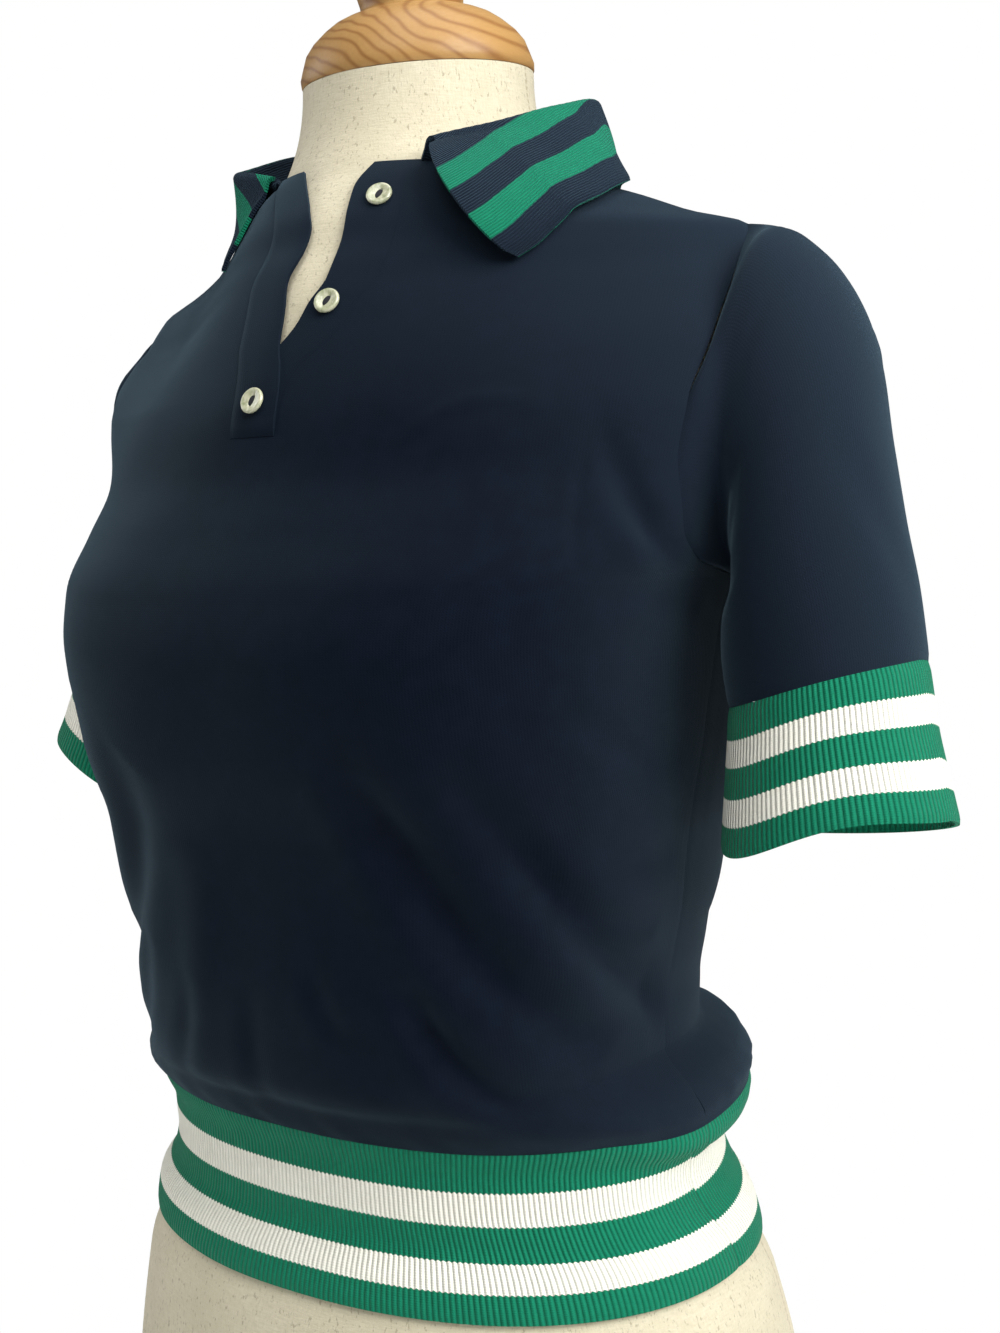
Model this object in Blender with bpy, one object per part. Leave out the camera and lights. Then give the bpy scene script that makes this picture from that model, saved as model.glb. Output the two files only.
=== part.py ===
"""A fine-knit polo sweater with striped ribs and collar, worn on a limbless dress form.

The torso is one stack of level sections. The front and the back are cut from it along the side
seams, the armholes, the shoulder seams and the neckline, and each becomes a thin wall. The
sleeves start from the armholes, the ribs and cuffs from the edges of what they finish, and the
collar from the neckline, so every seam is a line that two pieces share, less the seam gap.
"""

import math

import bmesh
import bpy
import numpy as np

MM = 0.001

# Driving sizes in millimetres. Heights are measured up from the hem of the sweater, x runs to the
# wearer's left and y to the back.
HEM_ABOVE_BASE = 130.0
STRIPE = 14.0
STRIPES = 5
RIB_HEIGHT = STRIPE * STRIPES
KNIT = 1.4
RIB_WALL = 2.0
SEAM_GAP = 0.3
ARMHOLE_GAP = 0.8
UNDERARM = 305.0
SHOULDER = 452.0
NECKLINE = 487.0
SLOT_BOTTOM = 371.0
PLACKET_WIDTH = 23.0
PLACKET_LAP = 1.0
PLACKET_COLUMNS = 3
PLACKET_TURN_IN = 2.0
COLLAR_DEPTH = 80.0
COLLAR_FOLD_RADIUS = 3.5
COLLAR_LIFT = 5.6
NECK_TOP = 537.0
NECK_TOP_RADIUS = 54.3
NECK_TOP_CENTRE = (-2.0, 2.8)
NECK_TILT = math.radians(5.1)
RIGHT_SHOULDER_DROP = 15.0
FORM_COLUMNS = 40


class Table:
    """Rows of named columns, read smoothly between the rows by the first column."""

    def __init__(self, columns, rows):
        self.columns = columns
        self.rows = np.array(rows, float)

    def column(self, name):
        return self.rows[:, self.columns.index(name)]

    def at(self, name, where):
        return smooth(self.rows[:, 0], self.column(name), where)


def smooth(xs, ys, x):
    """A cubic through the points that never swings past them."""
    step = np.diff(xs)
    rise = np.diff(ys) / step
    slope = np.zeros_like(ys)
    slope[0], slope[-1] = rise[0], rise[-1]
    for i in range(1, len(xs) - 1):
        if rise[i - 1] * rise[i] > 0:
            before, after = 2 * step[i] + step[i - 1], step[i] + 2 * step[i - 1]
            slope[i] = (before + after) / (before / rise[i - 1] + after / rise[i])
    x = np.asarray(x, float)
    i = np.clip(np.searchsorted(xs, x) - 1, 0, len(step) - 1)
    t = np.clip((x - xs[i]) / step[i], 0, 1)
    return (
        ys[i] * (1 + 2 * t) * (1 - t) ** 2
        + slope[i] * step[i] * t * (1 - t) ** 2
        + ys[i + 1] * t**2 * (3 - 2 * t)
        - slope[i + 1] * step[i] * t**2 * (1 - t)
    )


# The outside of the worn sweater, and below it the hip of the form. Each section is half of one
# oval in front and half of another behind, which meet at the side seams. A square of 2 is an
# ellipse, and a higher one is boxier.
TORSO = Table(
    ("height", "half_width", "side_y", "front", "front_square", "back", "back_square"),
    [
        (-130, 178, 0, 138, 2.2, 124, 2.2),
        (-60, 170, 0, 132, 2.2, 116, 2.2),
        (0, 157, -6, 124, 2.2, 106, 2.2),
        (14, 154, -10, 120, 2.2, 106, 2.2),
        (28, 144, -14, 113, 2.2, 105, 2.2),
        (42, 139, -17, 113, 2.2, 105, 2.2),
        (56, 139, -19, 113, 2.2, 111, 2.2),
        (70, 145, -20, 121, 2.2, 131, 2.2),
        (78, 147, -20, 125, 2.3, 138, 2.3),
        (85, 142, -20, 128, 2.4, 134, 2.3),
        (91, 134, -19, 132, 2.45, 116, 2.2),
        (98, 129, -19, 136, 2.5, 98, 2.2),
        (118, 129, -18, 139, 2.6, 100, 2.2),
        (140, 133, -18, 141, 2.6, 101, 2.2),
        (170, 139, -18, 140, 2.7, 101, 2.2),
        (200, 141, -14, 143, 2.8, 99, 2.2),
        (240, 144, -4, 156, 3.0, 99, 2.2),
        (280, 149, 0, 161, 3.0, 101, 2.2),
        (305, 155, 0, 155, 2.9, 102, 2.2),
        (330, 163, 0, 142, 2.4, 102, 2.1),
        (352, 170, 0, 131, 2.0, 101, 2.0),
        (378, 176, 0, 124, 1.8, 97, 1.9),
        (400, 178, 0, 115, 1.65, 92, 1.8),
        (425, 173, 2, 104, 1.5, 84, 1.8),
        (440, 168, 3, 97, 1.42, 80, 1.8),
        (452, 163, 5, 90, 1.42, 76, 1.8),
        (462, 135, 5, 86, 1.5, 74, 1.9),
        (474, 106, 4, 78, 1.65, 71, 2.0),
        (482, 83, 3, 72, 1.85, 69, 2.0),
        (487, 67, 2, 68, 2.0, 67, 2.0),
    ],
)

# How far in front of the side seam line the front's armhole edge lies, and how far behind the back's.
ARMHOLE = Table(
    ("height", "front", "back"),
    [
        (305, 0, 0),
        (314, 34, 30),
        (326, 47, 42),
        (350, 50, 47),
        (376, 45, 46),
        (396, 35, 39),
        (420, 21, 27),
        (452, 0, 0),
    ],
)

# The free edge of each placket, as x. They cross where the placket is buttoned and part above it.
OPENING = Table(
    ("height", "over_edge", "under_edge"),
    [
        (371, 12, -10),
        (385, 11, -10),
        (397, 8.5, -6),
        (408, 5, 5.6),
        (416, 4, 11),
        (425, 2.5, 14),
        (435, 0.5, 19),
        (447, 3.5, 20),
        (457, 4.5, 20),
        (467, 0.5, 19),
        (476, -6, 18),
        (487, -15, 22),
    ],
)

# The panels' rows. They hold the stripe edges, the underarm, the slot's foot and the shoulder point.
HEM_ROWS = [STRIPE * i for i in range(STRIPES + 1)]
WAIST_ROWS = [70, 77, 84, 91, 98, 110, 125, 141, 158, 177, 199, 224, 252, 280]
ARMHOLE_ROWS = [305, 314, 326, 340, 355, 371, 384, 398, 414, 432, 452]
YOKE_ROWS = [459, 467, 475, 482, 487]
PANEL_ROWS = [*WAIST_ROWS, *ARMHOLE_ROWS, *YOKE_ROWS]
FRONT_HALF_COLUMNS = 11
BACK_COLUMNS = 18

# The sleeves from just outside the armhole to the cuff's seam, then the cuffs to their edge. Each
# ring is an oval through its top and its underarm point, as deep as front and back say. Droop lets
# the back of a ring hang and dip its front inner part. The wearer's right arm hole sits further back.
RING_COLUMNS = ("along", "top_x", "top_z", "under_x", "under_z", "mid_y", "front", "back", "droop", "dip")
LEFT_SLEEVE = Table(
    RING_COLUMNS,
    [
        (1, 180, 447, 165, 303, 2, 50, 50, 0, 0),
        (2, 197, 436, 166, 298, 2, 50, 52, 0, 0),
        (3, 211, 416, 164, 292, 2, 49, 52, 0, 0),
        (4, 220, 390, 160, 284, 1, 48, 50, 0, 0),
        (5, 225, 360, 158, 276, 0, 47, 48, 0, 0),
        (6, 230, 330, 157, 267, 0, 46, 47, 2, 0),
        (7, 236, 300, 157, 258, 0, 45, 46, 3, 0),
        (8, 239, 270, 159, 250, 0, 44, 46, 4, 1),
    ],
)
LEFT_CUFF = Table(
    RING_COLUMNS,
    [
        (0, 239, 270, 159, 250, 0, 44, 46, 4, 1),
        (1, 241, 257, 158, 239, 0, 44, 46, 4, 2),
        (2, 243, 244, 157, 228, 0, 45, 47, 5, 3),
        (3, 246, 231, 156, 217, 0, 46, 48, 5, 4),
        (4, 249, 218, 155, 206, 0, 47, 49, 6, 4),
        (5, 252, 205, 154, 195, 0, 48, 50, 6, 5),
    ],
)
RIGHT_SLEEVE = Table(
    RING_COLUMNS,
    [
        (1, 173, 429, 165, 303, 3, 48, 50, 0, 0),
        (2, 184, 420, 165, 298, 6, 46, 50, 0, 0),
        (3, 194, 404, 163, 292, 9, 44, 48, 0, 0),
        (4, 202, 385, 159, 284, 11, 42, 46, 0, 0),
        (5, 206, 361, 157, 277, 12, 42, 45, 0, 0),
        (6, 211, 336, 155, 268, 11, 42, 44, 2, 0),
        (7, 219, 310, 154, 258, 9, 43, 44, 3, 0),
        (8, 229, 286, 156, 249, 8, 44, 45, 4, 1),
    ],
)
RIGHT_CUFF = Table(
    RING_COLUMNS,
    [
        (0, 229, 286, 156, 249, 8, 44, 45, 4, 1),
        (1, 232, 273, 156, 237, 8, 44, 45, 4, 2),
        (2, 235, 260, 155, 225, 8, 45, 46, 5, 3),
        (3, 240, 248, 154, 213, 6, 48, 47, 5, 4),
        (4, 244, 235, 153, 202, 4, 50, 48, 6, 4),
        (5, 248, 222, 152, 190, 2, 53, 49, 6, 5),
    ],
)

# The collar at stations from the wearer's left front end, round the back, to the right front end.
# Angles are degrees round the neck: -90 is the front, 0 the wearer's left and 90 the back. The edge
# hangs at its height unless the shoulder carries it higher.
COLLAR = Table(
    ("station", "seam_angle", "fold_angle", "fold_radius", "fold_height", "edge_angle", "edge_radius",
     "edge_height"),
    [
        (0.00, -55, -52, 77, 495, -34, 118, 430),
        (0.12, -35, -33, 78, 501, -22, 118, 440),
        (0.25, -8, -6, 80, 513, -4, 110, 460),
        (0.36, 25, 25, 81, 524, 27, 92, 483),
        (0.50, 90, 90, 74, 531, 90, 95, 489),
        (0.64, 155, 155, 81, 523, 153, 92, 483),
        (0.75, 188, 186, 79, 513, 186, 98, 458),
        (0.88, 215, 213, 77, 503, 213, 93, 440),
        (1.00, 235, 231, 75, 496, 233, 98, 430),
    ],
)
COLLAR_STATIONS = 21
COLLAR_ROWS = [0, 14, 28, 42, 47, 51, 54, 57, 60, 64, 68, 72, 76, 80]
COLLAR_STRIPES = ((14, 28), (42, 56))

# The largest folds, as troughs in a panel. Girth is measured along the panel from its middle, to
# the wearer's left, and bow bends a fold to one side.
FOLD_COLUMNS = ("girth_0", "height_0", "girth_1", "height_1", "bow", "depth", "width")
FRONT_FOLDS = Table(
    FOLD_COLUMNS,
    [
        (58, 246, 158, 108, 15, 7, 15),
        (102, 240, 214, 112, 15, 6, 15),
        (70, 150, 122, 86, 8, 4, 11),
        (-60, 236, -150, 112, -14, 6, 16),
        (-110, 226, -204, 124, -10, 5, 15),
    ],
)
BACK_FOLDS = Table(
    FOLD_COLUMNS,
    [
        (-84, 244, -34, 110, 8, 6, 17),
        (20, 236, 4, 108, 6, 5, 16),
        (96, 250, 52, 112, -8, 6, 18),
    ],
)

# How far the form lies inside the sweater's outside, and where its flat armhole plates stand.
EASE = Table(
    ("height", "ease"),
    [
        (-130, 0),
        (-20, 0),
        (0, 3.2),
        (25, 4.0),
        (50, 6.2),
        (70, 9),
        (80, 14),
        (105, 16),
        (150, 15),
        (200, 12),
        (250, 6.5),
        (290, 5.8),
        (330, 5.2),
        (380, 3.8),
        (440, 2.7),
        (487, 2.4),
    ],
)
PLATE = Table(("height", "plate_x"), [(287, 156), (330, 150), (400, 152), (452, 154)])
FORM_ROWS = [-130, -100, -60, -25, 0, 25, 50, 70, 90, 115, 145, 178, 214, 250, 287, *ARMHOLE_ROWS, *YOKE_ROWS]
NECK_ROWS = [492, 500, 511, 524]
NECK_CURVE = 2.2

# Turned pieces, as radius and height.
CAP_PROFILE = [
    (NECK_TOP_RADIUS, 0),
    (NECK_TOP_RADIUS + 0.5, 4),
    (51.5, 14),
    (42.5, 23.5),
    (33, 29),
    (25, 31.5),
    (24, 34),
    (25.4, 40),
    (23.5, 47),
    (17, 52),
    (8, 54.4),
]
CAP_SEGMENTS = 40
BUTTON_PROFILE = [(5.2, 0), (5.75, 0.6), (5.75, 1.5), (5.0, 2.0), (3.4, 1.7), (2.4, 1.0)]
BUTTON_SEGMENTS = 16
BUTTON_SEAT = 0.5

# The buttons from the top, and how far each lies from the free edge of the placket that carries it.
BUTTONS = Table(("number", "height", "from_edge"), [(1, 470, 13), (2, 424, 9.5), (3, 383, 11)])


def section(height, face, angles):
    """Points of one half section, from the wearer's right at -90 degrees to the left at 90."""
    side_y = TORSO.at("side_y", height)
    half_width = TORSO.at("half_width", height)
    square = TORSO.at(face + "_square", height)
    across = half_width * np.sign(np.sin(angles)) * np.abs(np.sin(angles)) ** (2 / square)
    out = np.abs(np.cos(angles)) ** (2 / square)
    if face == "front":
        deep = side_y - half_depth(height, face) * out
    else:
        deep = side_y + half_depth(height, face) * out
    return np.stack([across, deep, height - shoulder_drop(across, height)], axis=-1)


def eased(share):
    """From 0 to 1 with soft ends."""
    share = np.clip(share, 0, 1)
    return share**2 * (3 - 2 * share)


def shoulder_drop(x, height):
    """How much lower the wearer's right shoulder is: all of it at the shoulder point, none at the neck."""
    upwards = np.clip((height - 385) / 50, 0, 1)
    return RIGHT_SHOULDER_DROP * eased((-x - 30) / 65) * upwards * eased((NECKLINE - height) / 20)


def half_depth(height, face):
    """How far the front or the back of a section stands from its side seam line."""
    side_y = TORSO.at("side_y", height)
    return TORSO.at(face, height) + (side_y if face == "front" else -side_y)


def reach(height, face):
    """How far round its section a panel reaches: all the way, less what the armhole takes."""
    cut = ARMHOLE.at(face, height) if UNDERARM < height < SHOULDER else 0.0
    share = min(1.0, cut / half_depth(height, face))
    return math.acos(share ** (TORSO.at(face + "_square", height) / 2))


def angle_at_x(height, x):
    """Where round the front section a point this far across lies."""
    share = abs(x) / TORSO.at("half_width", height)
    return math.copysign(math.asin(share ** (TORSO.at("front_square", height) / 2)), x)


def front_point(height, x):
    return section(height, "front", np.array([angle_at_x(height, x)]))[0]


def inside(x, y, height):
    """Whether a place lies within the sweater's section at this height."""
    side_y = TORSO.at("side_y", height)
    face = "front" if y < side_y else "back"
    square = TORSO.at(face + "_square", height)
    across = abs(x) / TORSO.at("half_width", height)
    return across**square + (abs(y - side_y) / half_depth(height, face)) ** square < 1


def shoulder_height(x, y):
    """How high the sweater's outside lies at this place on the shoulder, by halving the gap."""
    low, high = UNDERARM, NECKLINE
    while high - low > 0.05:
        middle = (low + high) / 2
        if inside(x, y, middle):
            low = middle
        else:
            high = middle
    return low - shoulder_drop(x, low)


def along(path):
    """How far along a line each of its points is."""
    return np.concatenate([[0], np.cumsum(np.linalg.norm(np.diff(path, axis=0), axis=1))])


def redrawn(path, distances):
    """The points of a line at these distances along it."""
    return np.stack([np.interp(distances, along(path), path[:, k]) for k in range(3)], axis=-1)


def evenly(path, count):
    return redrawn(path, np.linspace(0, along(path)[-1], count))


def stretch(height, face, start, stop, count):
    """Evenly spaced points of a section between two angles."""
    return evenly(section(height, face, np.linspace(start, stop, 400)), count)


def placket_seam(side, height):
    """x where a placket joins the front: its width from its free edge, straight between rows."""
    rows = [row for row in PANEL_ROWS if row >= SLOT_BOTTOM]
    if side == "over":
        seam = OPENING.at("over_edge", rows) - PLACKET_WIDTH
    else:
        seam = OPENING.at("under_edge", rows) + PLACKET_WIDTH
    return float(np.interp(height, rows, seam))


def front_row(height):
    edge = reach(height, "front")
    right = angle_at_x(height, placket_seam("over", height))
    left = angle_at_x(height, placket_seam("under", height))
    halves = [
        stretch(height, "front", -edge, right, FRONT_HALF_COLUMNS),
        stretch(height, "front", left, edge, FRONT_HALF_COLUMNS),
    ]
    return np.concatenate(halves)


def back_row(height):
    edge = reach(height, "back")
    return stretch(height, "back", -edge, edge, BACK_COLUMNS)


class Skin:
    """The outside of a piece as a grid of points, with the outward direction at each."""

    def __init__(self, points, flip=False, wrap=False):
        self.points = np.array(points, float)
        self.flip = flip
        self.wrap = wrap
        self.normals = self.find_normals()

    def find_normals(self):
        upwards = np.gradient(self.points, axis=0)
        if self.wrap:
            around = np.roll(self.points, -1, axis=1) - np.roll(self.points, 1, axis=1)
        else:
            around = np.gradient(self.points, axis=1)
        normals = np.cross(around, upwards)
        normals /= np.linalg.norm(normals, axis=-1, keepdims=True)
        return -normals if self.flip else normals


def press_folds(skin, folds):
    """Presses the troughs into a panel, fading out before its edges."""
    run = np.linalg.norm(np.diff(skin.points, axis=1), axis=-1)
    girth = np.concatenate([np.zeros((len(run), 1)), np.cumsum(run, axis=1)], axis=1)
    girth -= girth[:, -1:] / 2
    height = skin.points[..., 2]
    fade = np.clip((girth[:, -1:] - np.abs(girth)) / 30, 0, 1) * np.clip((height - RIB_HEIGHT) / 30, 0, 1)
    press = np.zeros_like(height)
    for start_g, start_h, end_g, end_h, bow, depth, width in folds.rows:
        run_g, run_h = end_g - start_g, end_h - start_h
        length = math.hypot(run_g, run_h)
        share = ((girth - start_g) * run_g + (height - start_h) * run_h) / length**2
        swell = np.sin(np.pi * np.clip(share, 0, 1))
        aside = ((girth - start_g) * run_h - (height - start_h) * run_g) / length - bow * swell
        press += depth * swell**0.7 * np.exp(-((aside / width) ** 2))
    skin.points = skin.points - skin.normals * (press * fade)[..., None]
    skin.normals = skin.find_normals()


def armhole_loop(side):
    """The armhole from the underarm, up the front to the shoulder point and down the back."""
    column = 0 if side < 0 else -1
    front = [front_row(height)[column] for height in ARMHOLE_ROWS]
    back = [back_row(height)[column] for height in ARMHOLE_ROWS]
    return np.array(front + back[-2:0:-1])


def ring(table, place, side):
    """One oval of a sleeve or a cuff, point for point with the armhole's loop."""
    value = {name: float(table.at(name, place)) for name in RING_COLUMNS}
    count = 2 * (len(ARMHOLE_ROWS) - 1)
    angles = -np.pi / 2 + 2 * np.pi * np.arange(count) / count
    to_front = np.cos(angles)
    top = np.array([value["top_x"], 0, value["top_z"]])
    under = np.array([value["under_x"], 0, value["under_z"]])
    points = (top + under) / 2 + (top - under) / 2 * np.sin(angles)[:, None]
    depth = np.where(to_front > 0, -value["front"], value["back"])
    points[:, 1] = value["mid_y"] + depth * np.abs(to_front) ** 0.95
    points[:, 2] -= value["droop"] * np.clip(-to_front, 0, 1)
    points[:, 2] -= value["dip"] * np.clip(np.cos(angles + 0.6), 0, 1) ** 3
    points[:, 0] *= side
    return points


def sleeve_skin(table, side):
    rings = [armhole_loop(side)] + [ring(table, place, side) for place in table.column("along")]
    return Skin(rings, flip=side > 0, wrap=True)


def cuff_skin(table, side):
    return Skin([ring(table, place, side) for place in table.column("along")], flip=side > 0, wrap=True)


def round_neck(degrees, radius, height):
    angle = math.radians(degrees)
    x, y = NECK_TOP_CENTRE
    return np.array([radius * math.cos(angle), y + radius * math.sin(angle), height])


def neckline_point(degrees):
    angle = math.radians(degrees)
    face = "front" if math.sin(angle) < 0 else "back"
    half_width = TORSO.at("half_width", NECKLINE)
    radius = 1 / math.hypot(math.cos(angle) / half_width, math.sin(angle) / half_depth(NECKLINE, face))
    side_y = TORSO.at("side_y", NECKLINE)
    return np.array([radius * math.cos(angle), side_y + radius * math.sin(angle), NECKLINE])


def collar_path(station):
    """The collar's line at one station, from its edge up the fall, over the fold and down the stand."""
    value = {name: float(COLLAR.at(name, station)) for name in COLLAR.columns}
    top = round_neck(value["fold_angle"], value["fold_radius"], value["fold_height"])
    edge = round_neck(value["edge_angle"], value["edge_radius"], value["edge_height"])
    edge[2] = max(edge[2], shoulder_height(edge[0], edge[1]) + COLLAR_LIFT)
    outward = (edge - top) * [1, 1, 0]
    outward /= np.linalg.norm(outward)
    centre = top - [0, 0, COLLAR_FOLD_RADIUS]
    turns = np.linspace(0.25, math.pi, 7)
    roll = [centre + COLLAR_FOLD_RADIUS * (outward * math.cos(turn) + [0, 0, math.sin(turn)]) for turn in turns]
    return np.array([edge, *roll, neckline_point(value["seam_angle"])])


def collar_skin():
    columns = []
    for station in np.linspace(0, 1, COLLAR_STATIONS):
        path = collar_path(station)
        columns.append(redrawn(path, np.array(COLLAR_ROWS) * along(path)[-1] / COLLAR_DEPTH))
    skin = Skin(np.array(columns).transpose(1, 0, 2))
    # The stand's foot keeps its thickness level, so that it stands on the neckline.
    skin.normals[-1, :, 2] = 0
    skin.normals[-1] /= np.linalg.norm(skin.normals[-1], axis=-1, keepdims=True)
    return skin


def placket_skin(side):
    """A strip of the front's own surface between the placket's free edge and its seam."""
    free = side + "_edge"
    rows = [row for row in PANEL_ROWS if row >= SLOT_BOTTOM]
    between = [(low + high) / 2 for low, high in zip(rows, rows[1:])]
    heights = sorted([*rows, *between])
    if side == "over":
        heights[0] -= PLACKET_TURN_IN
    lines = []
    for height in heights:
        edge, seam = float(OPENING.at(free, height)), placket_seam(side, height)
        if side == "over":
            seam -= PLACKET_LAP
        start, stop = sorted((angle_at_x(height, edge), angle_at_x(height, seam)))
        lines.append(stretch(height, "front", start, stop, PLACKET_COLUMNS))
    return Skin(lines)


def share_normals(first, first_index, second, second_index):
    """Gives both sides of a seam one direction, so that their walls meet along one mitre."""
    mean = first.normals[first_index] + second.normals[second_index]
    mean /= np.linalg.norm(mean, axis=-1, keepdims=True)
    first.normals[first_index] = mean
    second.normals[second_index] = mean


def trim(skin, edges, gap=SEAM_GAP / 2):
    """Draws the named edges of a grid back by half of the seam gap."""
    points = skin.points
    lines = {
        "first_row": (points[0], points[1]),
        "last_row": (points[-1], points[-2]),
        "first_column": (points[:, 0], points[:, 1]),
        "last_column": (points[:, -1], points[:, -2]),
    }
    for name in edges:
        edge, inner = lines[name]
        towards = inner - edge
        edge += gap * towards / np.linalg.norm(towards, axis=-1, keepdims=True)


def wall(name, skin, thickness, materials, row_material=None, missing=None):
    """A closed wall from a skin: the skin, the same moved in by the thickness, and a rim."""
    rows, columns = skin.points.shape[:2]
    outside = skin.points.reshape(-1, 3)
    moved_in = outside - thickness * skin.normals.reshape(-1, 3)
    count = rows * columns
    quads, slots = [], []
    for i in range(rows - 1):
        for j in range(columns if skin.wrap else columns - 1):
            if missing and missing(i, j):
                continue
            after = (j + 1) % columns
            quad = (i * columns + j, i * columns + after, (i + 1) * columns + after, (i + 1) * columns + j)
            quads.append(quad[::-1] if skin.flip else quad)
            slots.append(row_material(i) if row_material else 0)
    open_edges = {}
    for quad, slot in zip(quads, slots):
        for a, b in zip(quad, quad[1:] + quad[:1]):
            if (b, a) in open_edges:
                del open_edges[(b, a)]
            else:
                open_edges[(a, b)] = slot
    faces = quads + [tuple(v + count for v in quad[::-1]) for quad in quads]
    faces += [(b, a, a + count, b + count) for a, b in open_edges]
    slots = slots + slots + list(open_edges.values())
    return add_mesh(name, np.concatenate([outside, moved_in]), faces, materials, slots)


def add_mesh(name, points, faces, materials, slots=None):
    mesh = bpy.data.meshes.new(name)
    mesh.from_pydata(((points + [0, 0, HEM_ABOVE_BASE]) * MM).tolist(), [], faces)
    for material in materials:
        mesh.materials.append(material)
    if slots:
        mesh.polygons.foreach_set("material_index", slots)
    bm = bmesh.new()
    bm.from_mesh(mesh)
    loose = [vert for vert in bm.verts if not vert.link_faces]
    bmesh.ops.delete(bm, geom=loose, context="VERTS")
    bm.to_mesh(mesh)
    bm.free()
    mesh.shade_smooth()
    mesh.set_sharp_from_angle(angle=math.radians(50))
    made = bpy.data.objects.new(name, mesh)
    bpy.context.collection.objects.link(made)
    return made


def surface_material(name, colour, roughness):
    material = bpy.data.materials.new(name)
    material.use_nodes = True
    shader = material.node_tree.nodes["Principled BSDF"]
    shader.inputs["Base Color"].default_value = (*colour, 1.0)
    shader.inputs["Roughness"].default_value = roughness
    shader.inputs["Metallic"].default_value = 0.0
    material.diffuse_color = (*colour, 1.0)
    return material


def marry_seams(front, back, sleeves, cuffs, ribs):
    """Lets each pair of pieces that meet at a seam share one direction there."""
    underarm = PANEL_ROWS.index(UNDERARM)
    shoulder = PANEL_ROWS.index(SHOULDER)
    seam_rows = [*range(underarm + 1), *range(shoulder, len(PANEL_ROWS))]
    share_normals(front, (seam_rows, 0), back, (seam_rows, 0))
    share_normals(front, (seam_rows, -1), back, (seam_rows, -1))
    steps = len(ARMHOLE_ROWS)
    for side, sleeve in sleeves.items():
        column = 0 if side < 0 else -1
        share_normals(front, (list(range(underarm, shoulder + 1)), column), sleeve, (0, list(range(steps))))
        down = list(range(shoulder - 1, underarm, -1))
        share_normals(back, (down, column), sleeve, (0, list(range(steps, 2 * steps - 2))))
        for row in (underarm, shoulder):
            back.normals[row, column] = front.normals[row, column]
        share_normals(sleeve, -1, cuffs[side], 0)
    share_normals(front, 0, ribs["front"], -1)
    share_normals(back, 0, ribs["back"], -1)
    for column in (0, -1):
        share_normals(ribs["front"], (slice(None), column), ribs["back"], (slice(None), column))


def make_garment(navy, green, cream):
    front = Skin([front_row(height) for height in PANEL_ROWS])
    back = Skin([back_row(height) for height in PANEL_ROWS], flip=True)
    press_folds(front, FRONT_FOLDS)
    press_folds(back, BACK_FOLDS)
    ribs = {
        "front": Skin([front_row(height) for height in HEM_ROWS]),
        "back": Skin([back_row(height) for height in HEM_ROWS], flip=True),
    }
    sleeves = {1: sleeve_skin(LEFT_SLEEVE, 1), -1: sleeve_skin(RIGHT_SLEEVE, -1)}
    cuffs = {1: cuff_skin(LEFT_CUFF, 1), -1: cuff_skin(RIGHT_CUFF, -1)}
    collar = collar_skin()
    marry_seams(front, back, sleeves, cuffs, ribs)
    for side in (1, -1):
        trim(sleeves[side], ["first_row"], ARMHOLE_GAP)
        trim(sleeves[side], ["last_row"])
        trim(cuffs[side], ["first_row"])
    for skin in (front, back):
        trim(skin, ["first_row", "last_row", "first_column", "last_column"])
    for skin in ribs.values():
        trim(skin, ["last_row", "first_column", "last_column"])
    trim(collar, ["last_row"])

    slot_row = PANEL_ROWS.index(SLOT_BOTTOM)
    middle = FRONT_HALF_COLUMNS - 1
    wall("front_panel", front, KNIT, [navy], missing=lambda i, j: j == middle and i >= slot_row)
    wall("back_panel", back, KNIT, [navy])

    def stripe(i):
        return i % 2

    for face, skin in ribs.items():
        wall("hem_rib_" + face, skin, RIB_WALL, [green, cream], stripe)
    for side, name in ((1, "left"), (-1, "right")):
        wall("sleeve_" + name, sleeves[side], KNIT, [navy])
        wall("cuff_" + name, cuffs[side], RIB_WALL, [green, cream], stripe)

    def collar_stripe(i):
        return int(any(low <= COLLAR_ROWS[i] < high for low, high in COLLAR_STRIPES))

    wall("collar", collar, RIB_WALL, [navy, green], collar_stripe)


def make_plackets(navy):
    """The under placket fills its side of the slot. The over placket lies on it and on the front."""
    under = placket_skin("under")
    trim(under, ["first_row", "last_row", "last_column"], SEAM_GAP)
    wall("placket_under", under, KNIT, [navy])
    over = placket_skin("over")
    over.points += over.normals * (KNIT + SEAM_GAP)
    trim(over, ["last_row"], SEAM_GAP)
    wall("placket_over", over, KNIT, [navy])


def rings_to_faces(rows, columns):
    """The quads between closed rings, with both ends capped."""
    faces = []
    for i in range(rows - 1):
        for j in range(columns):
            after = (j + 1) % columns
            faces.append((i * columns + j, i * columns + after, (i + 1) * columns + after, (i + 1) * columns + j))
    faces.append(tuple(range(columns))[::-1])
    faces.append(tuple((rows - 1) * columns + j for j in range(columns)))
    return faces


def form_body():
    """Rings from the flat base to the neckline, inside the sweater by its ease."""
    angles = np.linspace(-np.pi / 2, np.pi / 2, 300)
    rings = []
    for height in FORM_ROWS:
        around = np.concatenate([section(height, "front", angles), section(height, "back", angles)[::-1]])
        rings.append(evenly(around, FORM_COLUMNS + 1)[:-1])
    skin = Skin(rings, wrap=True)
    ease = EASE.at("ease", FORM_ROWS)[:, None, None]
    body = skin.points - skin.normals * ease
    for height, around in zip(FORM_ROWS, body):
        if WAIST_ROWS[-1] < height < SHOULDER + 1:
            plate = PLATE.at("plate_x", height)
            around[:, 0] = np.clip(around[:, 0], -plate, plate)
    body[0, :, 2] = FORM_ROWS[0]
    return body


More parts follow.
